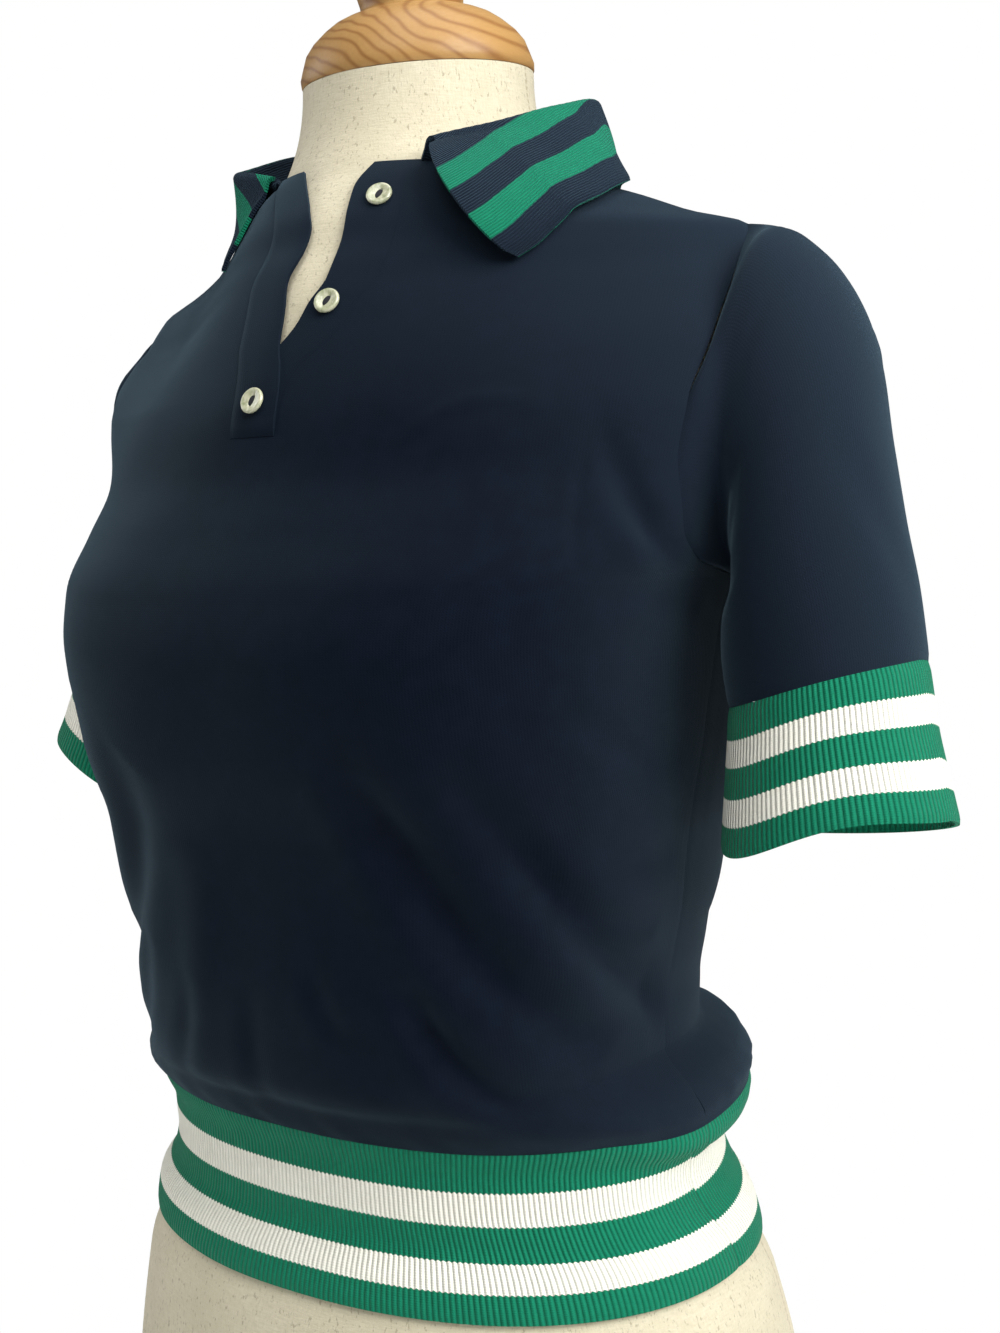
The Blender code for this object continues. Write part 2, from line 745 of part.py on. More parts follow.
def form_neck(foot):
    """Rings from the neckline up to the tilted top of the neck."""
    angles = 2 * np.pi * np.arange(FORM_COLUMNS) / FORM_COLUMNS - np.pi
    circle = [NECK_TOP_RADIUS * np.cos(angles), NECK_TOP_RADIUS * np.sin(angles), 0 * angles]
    top = on_neck(np.stack(circle, axis=-1)) - [0, 0, SEAM_GAP]
    rings = []
    for height in NECK_ROWS:
        share = 1 - (1 - (height - NECKLINE) / (NECK_TOP - NECKLINE)) ** NECK_CURVE
        middle = foot * (1 - share) + top * share
        middle[:, 2] = height
        rings.append(middle)
    return [*rings, top]


def on_neck(points):
    """Tips points forward by the tilt of the neck's top and sets them there."""
    x, y, z = points.T
    tipped_y = y * math.cos(NECK_TILT) - z * math.sin(NECK_TILT)
    tipped_z = y * math.sin(NECK_TILT) + z * math.cos(NECK_TILT)
    return np.stack([x, tipped_y, tipped_z], axis=-1) + [*NECK_TOP_CENTRE, NECK_TOP]


def make_form(linen):
    body = form_body()
    rings = [*body, *form_neck(body[-1])]
    add_mesh("form_torso", np.concatenate(rings), rings_to_faces(len(rings), FORM_COLUMNS), [linen])


def turned(profile, segments):
    """The points of a turned solid, a ring for each row of its profile."""
    angles = 2 * np.pi * np.arange(segments) / segments
    return np.array([(r * math.cos(a), r * math.sin(a), z) for r, z in profile for a in angles])


def make_cap(wood):
    points = on_neck(turned(CAP_PROFILE, CAP_SEGMENTS))
    add_mesh("form_cap", points, rings_to_faces(len(CAP_PROFILE), CAP_SEGMENTS), [wood])


def make_buttons(pearl):
    """Each button lies flat on its placket. The lowest one is fastened, so it is on the over placket."""
    disc = turned(BUTTON_PROFILE, BUTTON_SEGMENTS)
    for number, height, from_edge in BUTTONS.rows:
        fastened = number == 3
        if fastened:
            x = OPENING.at("over_edge", height) - from_edge
        else:
            x = OPENING.at("under_edge", height) + from_edge
        across = front_point(height, x + 4) - front_point(height, x - 4)
        upwards = front_point(height + 4, x) - front_point(height - 4, x)
        out = np.cross(across, upwards)
        out /= np.linalg.norm(out)
        across /= np.linalg.norm(across)
        upwards = np.cross(out, across)
        lift = BUTTON_SEAT + (KNIT + SEAM_GAP) * fastened
        centre = front_point(height, x) + lift * out
        points = centre + disc @ np.array([across, upwards, out])
        add_mesh(f"button_{int(number)}", points, rings_to_faces(len(BUTTON_PROFILE), BUTTON_SEGMENTS), [pearl])


def clear_scene():
    for item in list(bpy.data.objects):
        bpy.data.objects.remove(item, do_unlink=True)


def main():
    clear_scene()
    navy = surface_material("navy_knit", (0.012, 0.022, 0.045), 0.95)
    green = surface_material("green_rib", (0.008, 0.20, 0.11), 0.9)
    cream = surface_material("cream_rib", (0.84, 0.83, 0.77), 0.9)
    pearl = surface_material("pearl_button", (0.72, 0.72, 0.62), 0.2)
    linen = surface_material("linen_cover", (0.78, 0.72, 0.58), 0.9)
    wood = surface_material("turned_wood", (0.55, 0.34, 0.14), 0.4)
    make_garment(navy, green, cream)
    make_plackets(navy)
    make_buttons(pearl)
    make_form(linen)
    make_cap(wood)


main()
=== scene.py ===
# %% [markdown]
# # A knitted polo sweater on a dress form
# Each piece of cloth is a sheet: a fine grid laid on the piece's own surface, pressed with folds,
# then given the thickness of the knit. Sizes are millimetres above the hem, x to the wearer's left
# and y to the back.

# %% Load the frame
import math

import bpy
import numpy as np
from mathutils import Matrix, Vector


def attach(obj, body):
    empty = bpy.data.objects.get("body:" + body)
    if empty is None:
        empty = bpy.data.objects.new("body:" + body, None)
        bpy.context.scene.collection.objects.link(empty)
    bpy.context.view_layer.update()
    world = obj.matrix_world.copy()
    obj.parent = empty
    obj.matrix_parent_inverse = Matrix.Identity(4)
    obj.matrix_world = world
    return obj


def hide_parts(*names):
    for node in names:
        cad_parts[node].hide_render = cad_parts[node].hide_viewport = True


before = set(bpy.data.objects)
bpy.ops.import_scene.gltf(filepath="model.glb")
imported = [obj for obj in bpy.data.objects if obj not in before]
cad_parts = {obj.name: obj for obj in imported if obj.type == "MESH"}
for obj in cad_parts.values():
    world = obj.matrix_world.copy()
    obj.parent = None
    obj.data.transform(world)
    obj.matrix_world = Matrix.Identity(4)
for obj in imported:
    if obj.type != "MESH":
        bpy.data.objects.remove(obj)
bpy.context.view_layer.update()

# %% [markdown]
# ## Sizes
# A garment is drafted from a few sizes, and so is this one. Those that several pieces share are
# here, and the others stand where they are first used.

# %% Sizes
MM = 0.001
HEM_ABOVE_BASE = 130.0
STRIPE = 14.0
RIB_HEIGHT = 5 * STRIPE
KNIT = 1.4
RIB_WALL = 2.0
UNDERARM = 305.0
SHOULDER = 452.0
NECKLINE = 487.0
SLOT_BOTTOM = 371.0
PLACKET_WIDTH = 23.0
NECK_TOP = 537.0
NECK_TOP_RADIUS = 54.3
NECK_TOP_CENTRE = (-2.0, 2.8)
NECK_TILT = math.radians(5.1)
RIB_PITCH = 2.4
EDGE_ROLL = 0.7
JERSEY_UNEVEN = 0.25
RIB_UNEVEN = 0.2
print("a body", NECKLINE, "mm long with a hem rib of", RIB_HEIGHT, "mm")

# %% [markdown]
# ## Tables
# A body's outline changes slowly from one height to the next. A short table gives it at a few
# heights, and a smooth curve through each column gives it everywhere else.


# %% Table
class Table:
    """Rows of named columns, read smoothly between the rows by the first column."""

    def __init__(self, columns, rows):
        self.columns = columns
        self.rows = np.array(rows, float)

    def column(self, name):
        return self.rows[:, self.columns.index(name)]

    def at(self, name, where):
        return smooth(self.rows[:, 0], self.column(name), where)


# %% Curve between rows
def smooth(xs, ys, x):
    """A cubic through the points that never swings past them."""
    xs, ys = np.asarray(xs, float), np.asarray(ys, float)
    step = np.diff(xs)
    rise = np.diff(ys) / step
    slope = np.zeros_like(ys)
    slope[0], slope[-1] = rise[0], rise[-1]
    for i in range(1, len(xs) - 1):
        if rise[i - 1] * rise[i] > 0:
            before, after = 2 * step[i] + step[i - 1], step[i] + 2 * step[i - 1]
            slope[i] = (before + after) / (before / rise[i - 1] + after / rise[i])
    x = np.asarray(x, float)
    i = np.clip(np.searchsorted(xs, x) - 1, 0, len(step) - 1)
    t = np.clip((x - xs[i]) / step[i], 0, 1)
    return (
        ys[i] * (1 + 2 * t) * (1 - t) ** 2
        + slope[i] * step[i] * t * (1 - t) ** 2
        + ys[i + 1] * t**2 * (3 - 2 * t)
        - slope[i + 1] * step[i] * t**2 * (1 - t)
    )


print("halfway from 0 to 1 the curve is at", float(smooth([0, 1], [0, 1], 0.5)))

# %% [markdown]
# ## The worn shape
# A sweater on a form has an oval outline at each level. Scanning or sculpting could give it, but
# half of one oval in front and half of another behind need only a few sizes at each height, and
# the same sections then carry every panel, the plackets and the form.

# %% Torso
# Sizes are from the middle. A square of 2 is a true oval, and more is squarer at its sides.
TORSO = Table(
    ("height", "half_width", "side_y", "front", "front_square", "back", "back_square"),
    [
        (-130, 178, 0, 138, 2.2, 124, 2.2),
        (-60, 170, 0, 132, 2.2, 116, 2.2),
        (0, 157, -6, 124, 2.2, 106, 2.2),
        (14, 154, -10, 120, 2.2, 106, 2.2),
        (28, 144, -14, 113, 2.2, 105, 2.2),
        (42, 139, -17, 113, 2.2, 105, 2.2),
        (56, 139, -19, 113, 2.2, 111, 2.2),
        (70, 145, -20, 117, 2.2, 131, 2.2),
        (78, 147, -20, 121, 2.3, 138, 2.3),
        (85, 142, -20, 125, 2.4, 134, 2.3),
        (91, 134, -19, 132, 2.45, 116, 2.2),
        (98, 129, -19, 136, 2.5, 98, 2.2),
        (118, 129, -18, 139, 2.6, 100, 2.2),
        (140, 133, -18, 141, 2.6, 101, 2.2),
        (170, 139, -18, 140, 2.7, 101, 2.2),
        (200, 141, -14, 143, 2.8, 99, 2.2),
        (240, 144, -4, 156, 3.0, 99, 2.2),
        (280, 149, 0, 161, 3.0, 101, 2.2),
        (305, 155, 0, 155, 2.9, 102, 2.2),
        (330, 163, 0, 142, 2.4, 102, 2.1),
        (352, 170, 0, 131, 2.0, 101, 2.0),
        (378, 176, 0, 124, 1.8, 97, 1.9),
        (400, 178, 0, 115, 1.65, 92, 1.8),
        (425, 173, 2, 104, 1.5, 84, 1.8),
        (440, 168, 3, 97, 1.42, 80, 1.8),
        (452, 163, 5, 90, 1.42, 76, 1.8),
        (462, 135, 5, 86, 1.5, 74, 1.9),
        (474, 106, 4, 78, 1.65, 71, 2.0),
        (482, 83, 3, 72, 1.85, 69, 2.0),
        (487, 67, 2, 68, 2.0, 67, 2.0),
    ],
)

print(len(TORSO.rows), "torso sections from", TORSO.rows[0, 0], "to", TORSO.rows[-1, 0], "mm")

# %% Armholes and opening
# How far in front of the side seam line the front's armhole edge lies, and how far behind the back's.
ARMHOLE = Table(
    ("height", "front", "back"),
    [
        (305, 0, 0),
        (314, 34, 30),
        (326, 47, 42),
        (350, 50, 47),
        (376, 45, 46),
        (396, 35, 39),
        (420, 21, 27),
        (452, 0, 0),
    ],
)

# The free edge of each placket, as x. They cross where the placket is buttoned and part above it.
OPENING = Table(
    ("height", "over_edge", "under_edge"),
    [
        (371, 12, -10),
        (385, 11, -10),
        (397, 8.5, -6),
        (408, 5, 5.6),
        (416, 4, 11),
        (425, 2.5, 14),
        (435, 0.5, 19),
        (447, 3.5, 20),
        (457, 4.5, 20),
        (467, 0.5, 19),
        (476, -6, 18),
        (487, -15, 22),
    ],
)
ARMHOLE_ROWS = [305, 314, 326, 340, 355, 371, 384, 398, 414, 432, 452]
print("armholes", ARMHOLE_ROWS[-1] - ARMHOLE_ROWS[0], "mm high")

# %% Sections of the torso
RIGHT_SHOULDER_DROP = 15.0
DROP_FROM, DROP_FULL = 385.0, 435.0
DROP_INNER, DROP_OUTER = 30.0, 95.0
DROP_FADE = 20.0


def half_depth(height, face):
    """How far the front or the back of a section stands from its side seam line."""
    side_y = TORSO.at("side_y", height)
    return TORSO.at(face, height) + (side_y if face == "front" else -side_y)


def eased(share):
    """From 0 to 1 with soft ends."""
    share = np.clip(share, 0, 1)
    return share**2 * (3 - 2 * share)


def shoulder_drop(x, height):
    """How much lower the wearer's right shoulder is: all of it at the shoulder point, none at the neck."""
    upwards = np.clip((height - DROP_FROM) / (DROP_FULL - DROP_FROM), 0, 1)
    across = eased((-x - DROP_INNER) / (DROP_OUTER - DROP_INNER))
    return RIGHT_SHOULDER_DROP * across * upwards * eased((NECKLINE - height) / DROP_FADE)


def section(height, face, angles):
    """Points of one half section, from the wearer's right at -90 degrees to the left at 90."""
    side_y = TORSO.at("side_y", height)
    square = TORSO.at(face + "_square", height)
    across = TORSO.at("half_width", height) * np.sign(np.sin(angles)) * np.abs(np.sin(angles)) ** (2 / square)
    out = half_depth(height, face) * np.abs(np.cos(angles)) ** (2 / square)
    deep = side_y - out if face == "front" else side_y + out
    return np.stack([across, deep, height - shoulder_drop(across, height)], axis=-1)


print("the section at the bust is", 2 * float(TORSO.at("half_width", 280)), "mm wide")


# %% Places on a section
def reach(height, face):
    """How far round its section a panel reaches: all the way, less what the armhole takes."""
    cut = ARMHOLE.at(face, height) if UNDERARM < height < SHOULDER else 0.0
    share = min(1.0, cut / half_depth(height, face))
    return math.acos(share ** (TORSO.at(face + "_square", height) / 2))


def angle_at_x(height, x):
    """Where round the front section a point this far across lies."""
    share = abs(x) / TORSO.at("half_width", height)
    return math.copysign(math.asin(share ** (TORSO.at("front_square", height) / 2)), x)


def front_point(height, x):
    return section(height, "front", np.array([angle_at_x(height, x)]))[0]


def inside(x, y, height):
    """Whether a place lies within the sweater's section at this height."""
    side_y = TORSO.at("side_y", height)
    face = "front" if y < side_y else "back"
    square = TORSO.at(face + "_square", height)
    across = abs(x) / TORSO.at("half_width", height)
    return across**square + (abs(y - side_y) / half_depth(height, face)) ** square < 1


def shoulder_height(x, y):
    """How high the sweater's outside lies at this place on the shoulder, by halving the gap."""
    low, high = UNDERARM, NECKLINE
    while high - low > 0.05:
        middle = (low + high) / 2
        if inside(x, y, middle):
            low = middle
        else:
            high = middle
    return low - shoulder_drop(x, low)


print("the middle of the front at the bust is", front_point(280, 0).round(1))


# %% Lines
def along(path):
    """How far along a line each of its points is."""
    return np.concatenate([[0], np.cumsum(np.linalg.norm(np.diff(path, axis=0), axis=1))])


def redrawn(path, distances):
    """The points of a line at these distances along it."""
    return np.stack([np.interp(distances, along(path), path[:, k]) for k in range(3)], axis=-1)


def stretch(height, face, start, stop, count):
    """Evenly spaced points of a section between two angles."""
    path = section(height, face, np.linspace(start, stop, 500))
    return redrawn(path, np.linspace(0, along(path)[-1], count))


def between(marks, step):
    """Numbers no more than a step apart, through every mark."""
    parts = []
    for low, high in zip(marks, marks[1:]):
        parts.append(np.linspace(low, high, math.ceil((high - low) / step) + 1)[:-1])
    return np.concatenate([*parts, [marks[-1]]])


def placket_seam(side, height):
    """x where a placket joins the front."""
    if side == "over":
        return float(OPENING.at("over_edge", height)) - PLACKET_WIDTH
    return float(OPENING.at("under_edge", height)) + PLACKET_WIDTH


print("the placket's seam at its foot is at x", round(placket_seam("over", SLOT_BOTTOM), 1))

# %% [markdown]
# ## Skins
# Cloth is far wider than it is thick, so each piece starts as a skin: its outside as a grid of
# points. Folds press the skin in or out along its own direction, which keeps them at right angles
# to the cloth wherever it faces.


# %% Skin
class Skin:
    """The outside of a piece as a grid of points, with the outward direction at each."""

    def __init__(self, points, flip=False, wrap=False):
        self.points = np.array(points, float)
        self.flip = flip
        self.wrap = wrap
        self.find_normals()

    def find_normals(self):
        upwards = np.gradient(self.points, axis=0)
        if self.wrap:
            around = np.roll(self.points, -1, axis=1) - np.roll(self.points, 1, axis=1)
        else:
            around = np.gradient(self.points, axis=1)
        normals = np.cross(around, upwards)
        normals /= np.linalg.norm(normals, axis=-1, keepdims=True) + 1e-12
        self.normals = -normals if self.flip else normals

    def press(self, depth):
        """Moves the skin inwards by a depth at each point."""
        self.points = self.points - self.normals * depth[..., None]
        self.find_normals()

    def girth(self):
        """How far along its row each point is."""
        run = np.linalg.norm(np.diff(self.points, axis=1), axis=-1)
        return np.concatenate([np.zeros((len(run), 1)), np.cumsum(run, axis=1)], axis=1)

    def rise(self):
        """How far up its column each point is."""
        run = np.linalg.norm(np.diff(self.points, axis=0), axis=-1)
        return np.concatenate([np.zeros((1, run.shape[1])), np.cumsum(run, axis=0)], axis=0)


sample = Skin([stretch(height, "front", -1, 1, 9) for height in (200, 240, 280)])
print("a skin's girth over the bust from row to row:", sample.girth()[:, -1].round(1))

# %% [markdown]
# ### Folds
# Knit cloth held at its shoulders and gathered by a rib hangs in slanting folds. A simulation finds
# folds of its own, while these have to lie where the real ones do, so each is given as a
# soft trough with its own length, bend, depth and width.

# %% Folds given one by one
# Troughs in a panel. Girth is measured along it from its middle to the wearer's left, bow bends a
# trough to one side, and a negative depth makes a ridge.
FOLD_COLUMNS = ("girth_0", "height_0", "girth_1", "height_1", "bow", "depth", "width")
FRONT_FOLDS = Table(
    FOLD_COLUMNS,
    [
        (58, 246, 158, 108, 15, 8, 12),
        (102, 240, 214, 112, 15, 7, 11),
        (70, 150, 122, 86, 8, 5, 9),
        (-60, 236, -150, 112, -14, 6, 16),
        (-110, 226, -204, 124, -10, 5, 15),
        (120, 206, 192, 156, 9, 2.4, 7),
        (74, 148, 110, 90, 5, 2.0, 6),
        (30, 154, 45, 120, 3, 1.4, 6),
        (0, 142, -6, 80, 2, 1.2, 7),
        (-30, 200, -47, 86, -6, -1.8, 13),
        (158, 354, 214, 312, 6, 2.6, 6),
        (146, 376, 197, 320, 9, 2.0, 6),
        (166, 302, 240, 291, -4, 1.6, 7),
        (144, 370, 157, 308, 3, 0.9, 3),
        (66, 361, 132, 374, -12, -0.7, 3),
        (150, 262, 226, 226, 8, 1.6, 9),
        (140, 216, 212, 186, 9, 1.4, 8),
        (-72, 152, -124, 88, -7, 2.6, 10),
        (-38, 140, -62, 88, -3, 1.4, 7),
        (-116, 206, -190, 150, -9, 2.0, 8),
        (-158, 352, -208, 312, -6, 1.8, 6),
        (-168, 300, -236, 290, 4, 1.5, 7),
        (-146, 262, -222, 224, -8, 1.6, 9),
        (-150, 266, -150, 152, 0, 5, 30),
    ],
)
BACK_FOLDS = Table(
    FOLD_COLUMNS,
    [
        (-84, 244, -34, 110, 8, 6, 17),
        (20, 236, 4, 108, 6, 5, 16),
        (96, 250, 52, 112, -8, 6, 18),
        (-120, 200, -86, 112, 6, 2.4, 9),
        (-52, 190, -10, 96, 5, 1.8, 8),
        (60, 176, 34, 92, -4, 1.9, 8),
        (132, 210, 104, 104, -7, 2.2, 9),
        (-30, 392, -88, 330, 6, 1.3, 10),
        (38, 396, 92, 336, -8, 1.4, 11),
        (-112, 302, -150, 270, 5, 1.4, 8),
        (116, 300, 152, 262, -5, 1.3, 8),
        (150, 330, 142, 150, 0, -7, 28),
    ],
)
print(len(FRONT_FOLDS.rows), "folds in front and", len(BACK_FOLDS.rows), "behind")

# %% Troughs, puckers and unevenness
SIDE_FADE = 18.0
RIB_FADE = 22.0


def troughs(skin, folds):
    """The depth of all the folds at each point of a panel, fading out before its edges."""
    girth = skin.girth()
    girth -= girth[:, -1:] / 2
    height = skin.points[..., 2]
    fade = np.clip((girth[:, -1:] - np.abs(girth)) / SIDE_FADE, 0, 1)
    fade = fade * np.clip((height - RIB_HEIGHT) / RIB_FADE, 0, 1)
    depth_map = np.zeros_like(height)
    for start_g, start_h, end_g, end_h, bow, depth, width in folds.rows:
        run_g, run_h = end_g - start_g, end_h - start_h
        length = math.hypot(run_g, run_h)
        share = ((girth - start_g) * run_g + (height - start_h) * run_h) / length**2
        swell = np.sin(np.pi * np.clip(share, 0, 1))
        aside = ((girth - start_g) * run_h - (height - start_h) * run_g) / length - bow * swell
        trough = np.exp(-((aside / width) ** 2)) - 0.3 * np.exp(-(((aside - 1.5 * width) / width) ** 2))
        depth_map += depth * swell**0.7 * trough
    return depth_map * fade


def puckers(skin, low, high, size):
    """Small uneven gathers in a band of heights, as where a panel is eased on to its rib."""
    girth, height = skin.girth(), skin.points[..., 2]
    wave = np.sin(girth / 5.3) + 0.7 * np.sin(girth / 3.1 + 1.3) + 0.6 * np.sin(girth / 11.7 + 0.4)
    share = np.clip((high - height) / (high - low), 0, 1)
    return size * wave * share**2 * np.clip((height - low) / 3, 0, 1)


def unevenness(skin, size):
    """The slight unevenness of a knit that hangs: long low waves across the whole piece."""
    x, y, z = (skin.points[..., k] for k in range(3))
    wave = np.sin(x / 23 + z / 31) + np.sin(y / 19 - z / 27 + 1.1) + 0.6 * np.sin(x / 11 - z / 14 + 2.0)
    return size * wave


print("the deepest fold is", FRONT_FOLDS.column("depth").max(), "mm")

# %% Bridges, fullness and seams
# Where cloth spans the hollow between the body and a sleeve, 1 for the wearer's left and -1 for the
# right: how far it is lifted, the height of its middle, half its length, how much it is pulled up,
# and how far it spreads over the panels and over the sleeve.
BRIDGES = {
    1: {"size": 9.0, "middle": 380, "half_length": 64, "pull_up": 0.0, "on_panel": 42, "on_sleeve": 15},
    -1: {"size": 10.0, "middle": 418, "half_length": 46, "pull_up": 0.35, "on_panel": 40, "on_sleeve": 11},
}
BACK_LEFT = (0.81, 0.59)
FULL_FROM, FULL_OVER = 60.0, 50.0
BACK_FLARE = 9.0
FLARE_HEIGHT, FLARE_SPREAD = 63.0, 9.0


def bridged(skin, away, side, spread):
    """Lifts cloth near an armhole, which spans the hollow between the body and the sleeve."""
    bridge = BRIDGES[side]
    y, z = skin.points[..., 1], skin.points[..., 2]
    lengthwise = np.abs((z - bridge["middle"]) / bridge["half_length"]) ** 2.5
    share = bridge["size"] * np.exp(-((away / bridge[spread]) ** 2) - lengthwise)
    facing = np.interp(y, [-26, 4, 34], [-1.0, 0.0, 0.6])
    lift = np.stack([0.5 * side + 0 * y, 0.86 * facing, bridge["pull_up"] + 0 * y], axis=-1)
    skin.points = skin.points + share[..., None] * lift
    skin.find_normals()


def behind(skin):
    """1 at the wearer's left of the back, where the sweater hangs fullest, and 0 elsewhere."""
    out = BACK_LEFT[0] * skin.points[..., 0] + BACK_LEFT[1] * skin.points[..., 1]
    return eased((out - FULL_FROM) / FULL_OVER)


def flared(skin):
    """How much the top of the hem rib and the cloth above it stand out there."""
    away = (skin.points[..., 2] - FLARE_HEIGHT) / FLARE_SPREAD
    return BACK_FLARE * behind(skin) * np.exp(-(away**2))


def seam_groove(skin, edges, depth=0.7, width=2.2):
    """A soft valley along the named edges, where the cloth turns in to its seam."""
    girth, rise = skin.girth(), skin.rise()
    away = {
        "first_row": rise,
        "last_row": rise[-1:] - rise,
        "first_column": girth,
        "last_column": girth[:, -1:] - girth,
    }
    groove = sum(np.exp(-((away[edge] / width) ** 2)) for edge in edges)
    return depth * np.minimum(groove, 1)


print("a seam's groove is", float(seam_groove(sample, ["first_row"])[0, 0]), "mm deep")

# %% [markdown]
# ## Materials
# A knit's pattern has to follow the cloth round the body, so each sheet carries its own UV map in
# millimetres: U along the courses and V up the wales. Solid pieces read their place instead. Every
# pattern is put together from single nodes by one small function, and its scale is a real one.


# %% Node and colour helpers
def colour(code):
    """The linear colour of an sRGB hex code."""
    parts = [int(code[i : i + 2], 16) / 255 for i in (0, 2, 4)]
    return (*[c / 12.92 if c <= 0.04045 else ((c + 0.055) / 1.055) ** 2.4 for c in parts], 1.0)


def add(tree, kind, inputs, out=0, **settings):
    """Adds a node, sets and links its inputs, and returns one of its outputs."""
    node = tree.nodes.new("ShaderNode" + kind)
    for name, value in settings.items():
        setattr(node, name, value)
    for name, value in inputs.items():
        if isinstance(value, bpy.types.NodeSocket):
            tree.links.new(value, node.inputs[name])
        else:
            node.inputs[name].default_value = value
    return node.outputs[out]


def new_material(name, **levels):
    """A material whose shader has these fixed levels, with its tree and shader."""
    material = bpy.data.materials.new(name)
    material.use_nodes = True
    shader = material.node_tree.nodes["Principled BSDF"]
    for level, value in levels.items():
        shader.inputs[level.replace("_", " ")].default_value = value
    return material, material.node_tree, shader


def finish_material(tree, shader, base, height, distance, rough=None):
    """Joins a base colour and a bump height to the shader."""
    tree.links.new(base, shader.inputs["Base Color"])
    bump = add(tree, "Bump", {"Height": height, "Distance": distance, "Strength": 1.0})
    tree.links.new(bump, shader.inputs["Normal"])
    if rough is not None:
        tree.links.new(rough, shader.inputs["Roughness"])


def knit_uv(tree):
    """The UV map in millimetres, as a vector, U and V."""
    uv = add(tree, "TexCoord", {}, "UV")
    return uv, add(tree, "SeparateXYZ", {0: uv}, 0), add(tree, "SeparateXYZ", {0: uv}, 1)


def millimetres(tree):
    """The place on a solid piece, in millimetres."""
    place = add(tree, "TexCoord", {}, "Object")
    return add(tree, "VectorMath", {0: place, 1: (1000, 1000, 1000)}, operation="MULTIPLY")


def wave_of(tree, value, period, phase=0.0):
    """A smooth wave from 0 to 1 with this period."""
    turned = add(tree, "Math", {0: value, 1: 2 * math.pi / period, 2: phase}, operation="MULTIPLY_ADD")
    sine = add(tree, "Math", {0: turned}, operation="SINE")
    return add(tree, "Math", {0: sine, 1: 0.5, 2: 0.5}, operation="MULTIPLY_ADD")


print("patterns are laid out by", RIB_PITCH, "mm rib columns and", STRIPE, "mm stripes")

# %% [markdown]
# ### Cotton jersey
# The body is a fine plain knit. Its loops could be modelled, but they are about a millimetre wide,
# so waves along U and V stand for them as bump. Brushed cotton has a soft bloom, which is the
# shader's sheen. Away from the middle of the chest its navy is painted lighter, as painted light
# on the lit shoulders, sleeves and sides.

# %% Navy jersey
WALE_PITCH = 1.3
COURSE_PITCH = 1.0
# Painted light: the navy is painted lighter with distance, in metres, from this place on the chest.
PAINTED_LIGHT_CENTRE = (0.02, -0.15, 0.37)
PAINTED_LIGHT_STRETCH = (1.0, 0.8, 0.8)
PAINTED_LIGHT_START = 0.12
PAINTED_LIGHT_END = 0.255


def make_jersey():
    """Fine cotton jersey: dark navy and matt, painted lighter away from the middle of the front as painted
    light.
    """
    material, tree, shader = new_material(
        "navy_cotton_jersey", Roughness=0.75, Sheen_Weight=0.17, Sheen_Roughness=0.45,
        Sheen_Tint=colour("a9d0e4"), Specular_IOR_Level=0.03,
    )
    uv, u, v = knit_uv(tree)
    wale = wave_of(tree, u, WALE_PITCH)
    lean = add(tree, "Math", {0: wale, 1: 0.5, 2: v}, operation="MULTIPLY_ADD")
    stitch = add(tree, "Math", {0: wave_of(tree, lean, COURSE_PITCH), 1: 0.5}, operation="MULTIPLY")
    loops = add(tree, "Math", {0: wale, 1: 0.6, 2: stitch}, operation="MULTIPLY_ADD")
    fibre = add(tree, "TexNoise", {"Vector": uv, "Scale": 1.7, "Detail": 4.0, "Roughness": 0.7})
    patch = add(tree, "TexNoise", {"Vector": uv, "Scale": 0.09, "Detail": 3.0, "Roughness": 0.6})
    patch = add(tree, "MapRange", {0: patch, 1: 0.3, 2: 0.7})
    tone = add(tree, "Mix", {0: patch, 6: colour("050a15"), 7: colour("080e1b")}, 2, data_type="RGBA")
    # Painted light: the navy turns lighter away from the middle of the chest and stands in for the light on
    # the shoulders, sleeves and sides.
    place = add(tree, "TexCoord", {}, "Object")
    from_chest = add(tree, "VectorMath", {0: place, 1: PAINTED_LIGHT_CENTRE}, operation="SUBTRACT")
    from_chest = add(tree, "VectorMath", {0: from_chest, 1: PAINTED_LIGHT_STRETCH}, operation="MULTIPLY")
    distance = add(tree, "VectorMath", {0: from_chest}, 1, operation="LENGTH")
    painted_light_share = add(tree, "MapRange", {0: distance, 1: PAINTED_LIGHT_START, 2: PAINTED_LIGHT_END})
    tone = add(tree, "Mix", {0: painted_light_share, 6: tone, 7: colour("1a232e")}, 2, data_type="RGBA")
    # Painted highlight: the raised loops are painted lighter, as where light catches their tops.
    raised = add(tree, "MapRange", {0: loops, 1: 0.2, 2: 1.0, 3: 0.0, 4: 0.25})
    tone = add(tree, "Mix", {0: raised, 6: tone, 7: colour("121a26")}, 2, data_type="RGBA")
    specks = add(tree, "TexNoise", {"Vector": uv, "Scale": 0.8, "Detail": 6.0, "Roughness": 0.75})
    lint = add(tree, "MapRange", {0: specks, 1: 0.67, 2: 0.75, 3: 0.0, 4: 0.45})
    tone = add(tree, "Mix", {0: lint, 6: tone, 7: colour("343d4c")}, 2, data_type="RGBA")
    height = add(tree, "Math", {0: fibre, 1: 2.2, 2: loops}, operation="MULTIPLY_ADD")
    finish_material(tree, shader, tone, height, 0.00005)
    return material


JERSEY = make_jersey()
print(JERSEY.name, len(JERSEY.node_tree.nodes), "nodes")

# %% [markdown]
# ### Striped rib
# Rib is knitted as round columns with deep grooves between them. Modelled columns would need far
# more faces than they are worth, so they are drawn as bump, and the grooves are darkened because
# little light gets into them. Stripes change colour loop by loop, so their edge follows the columns.


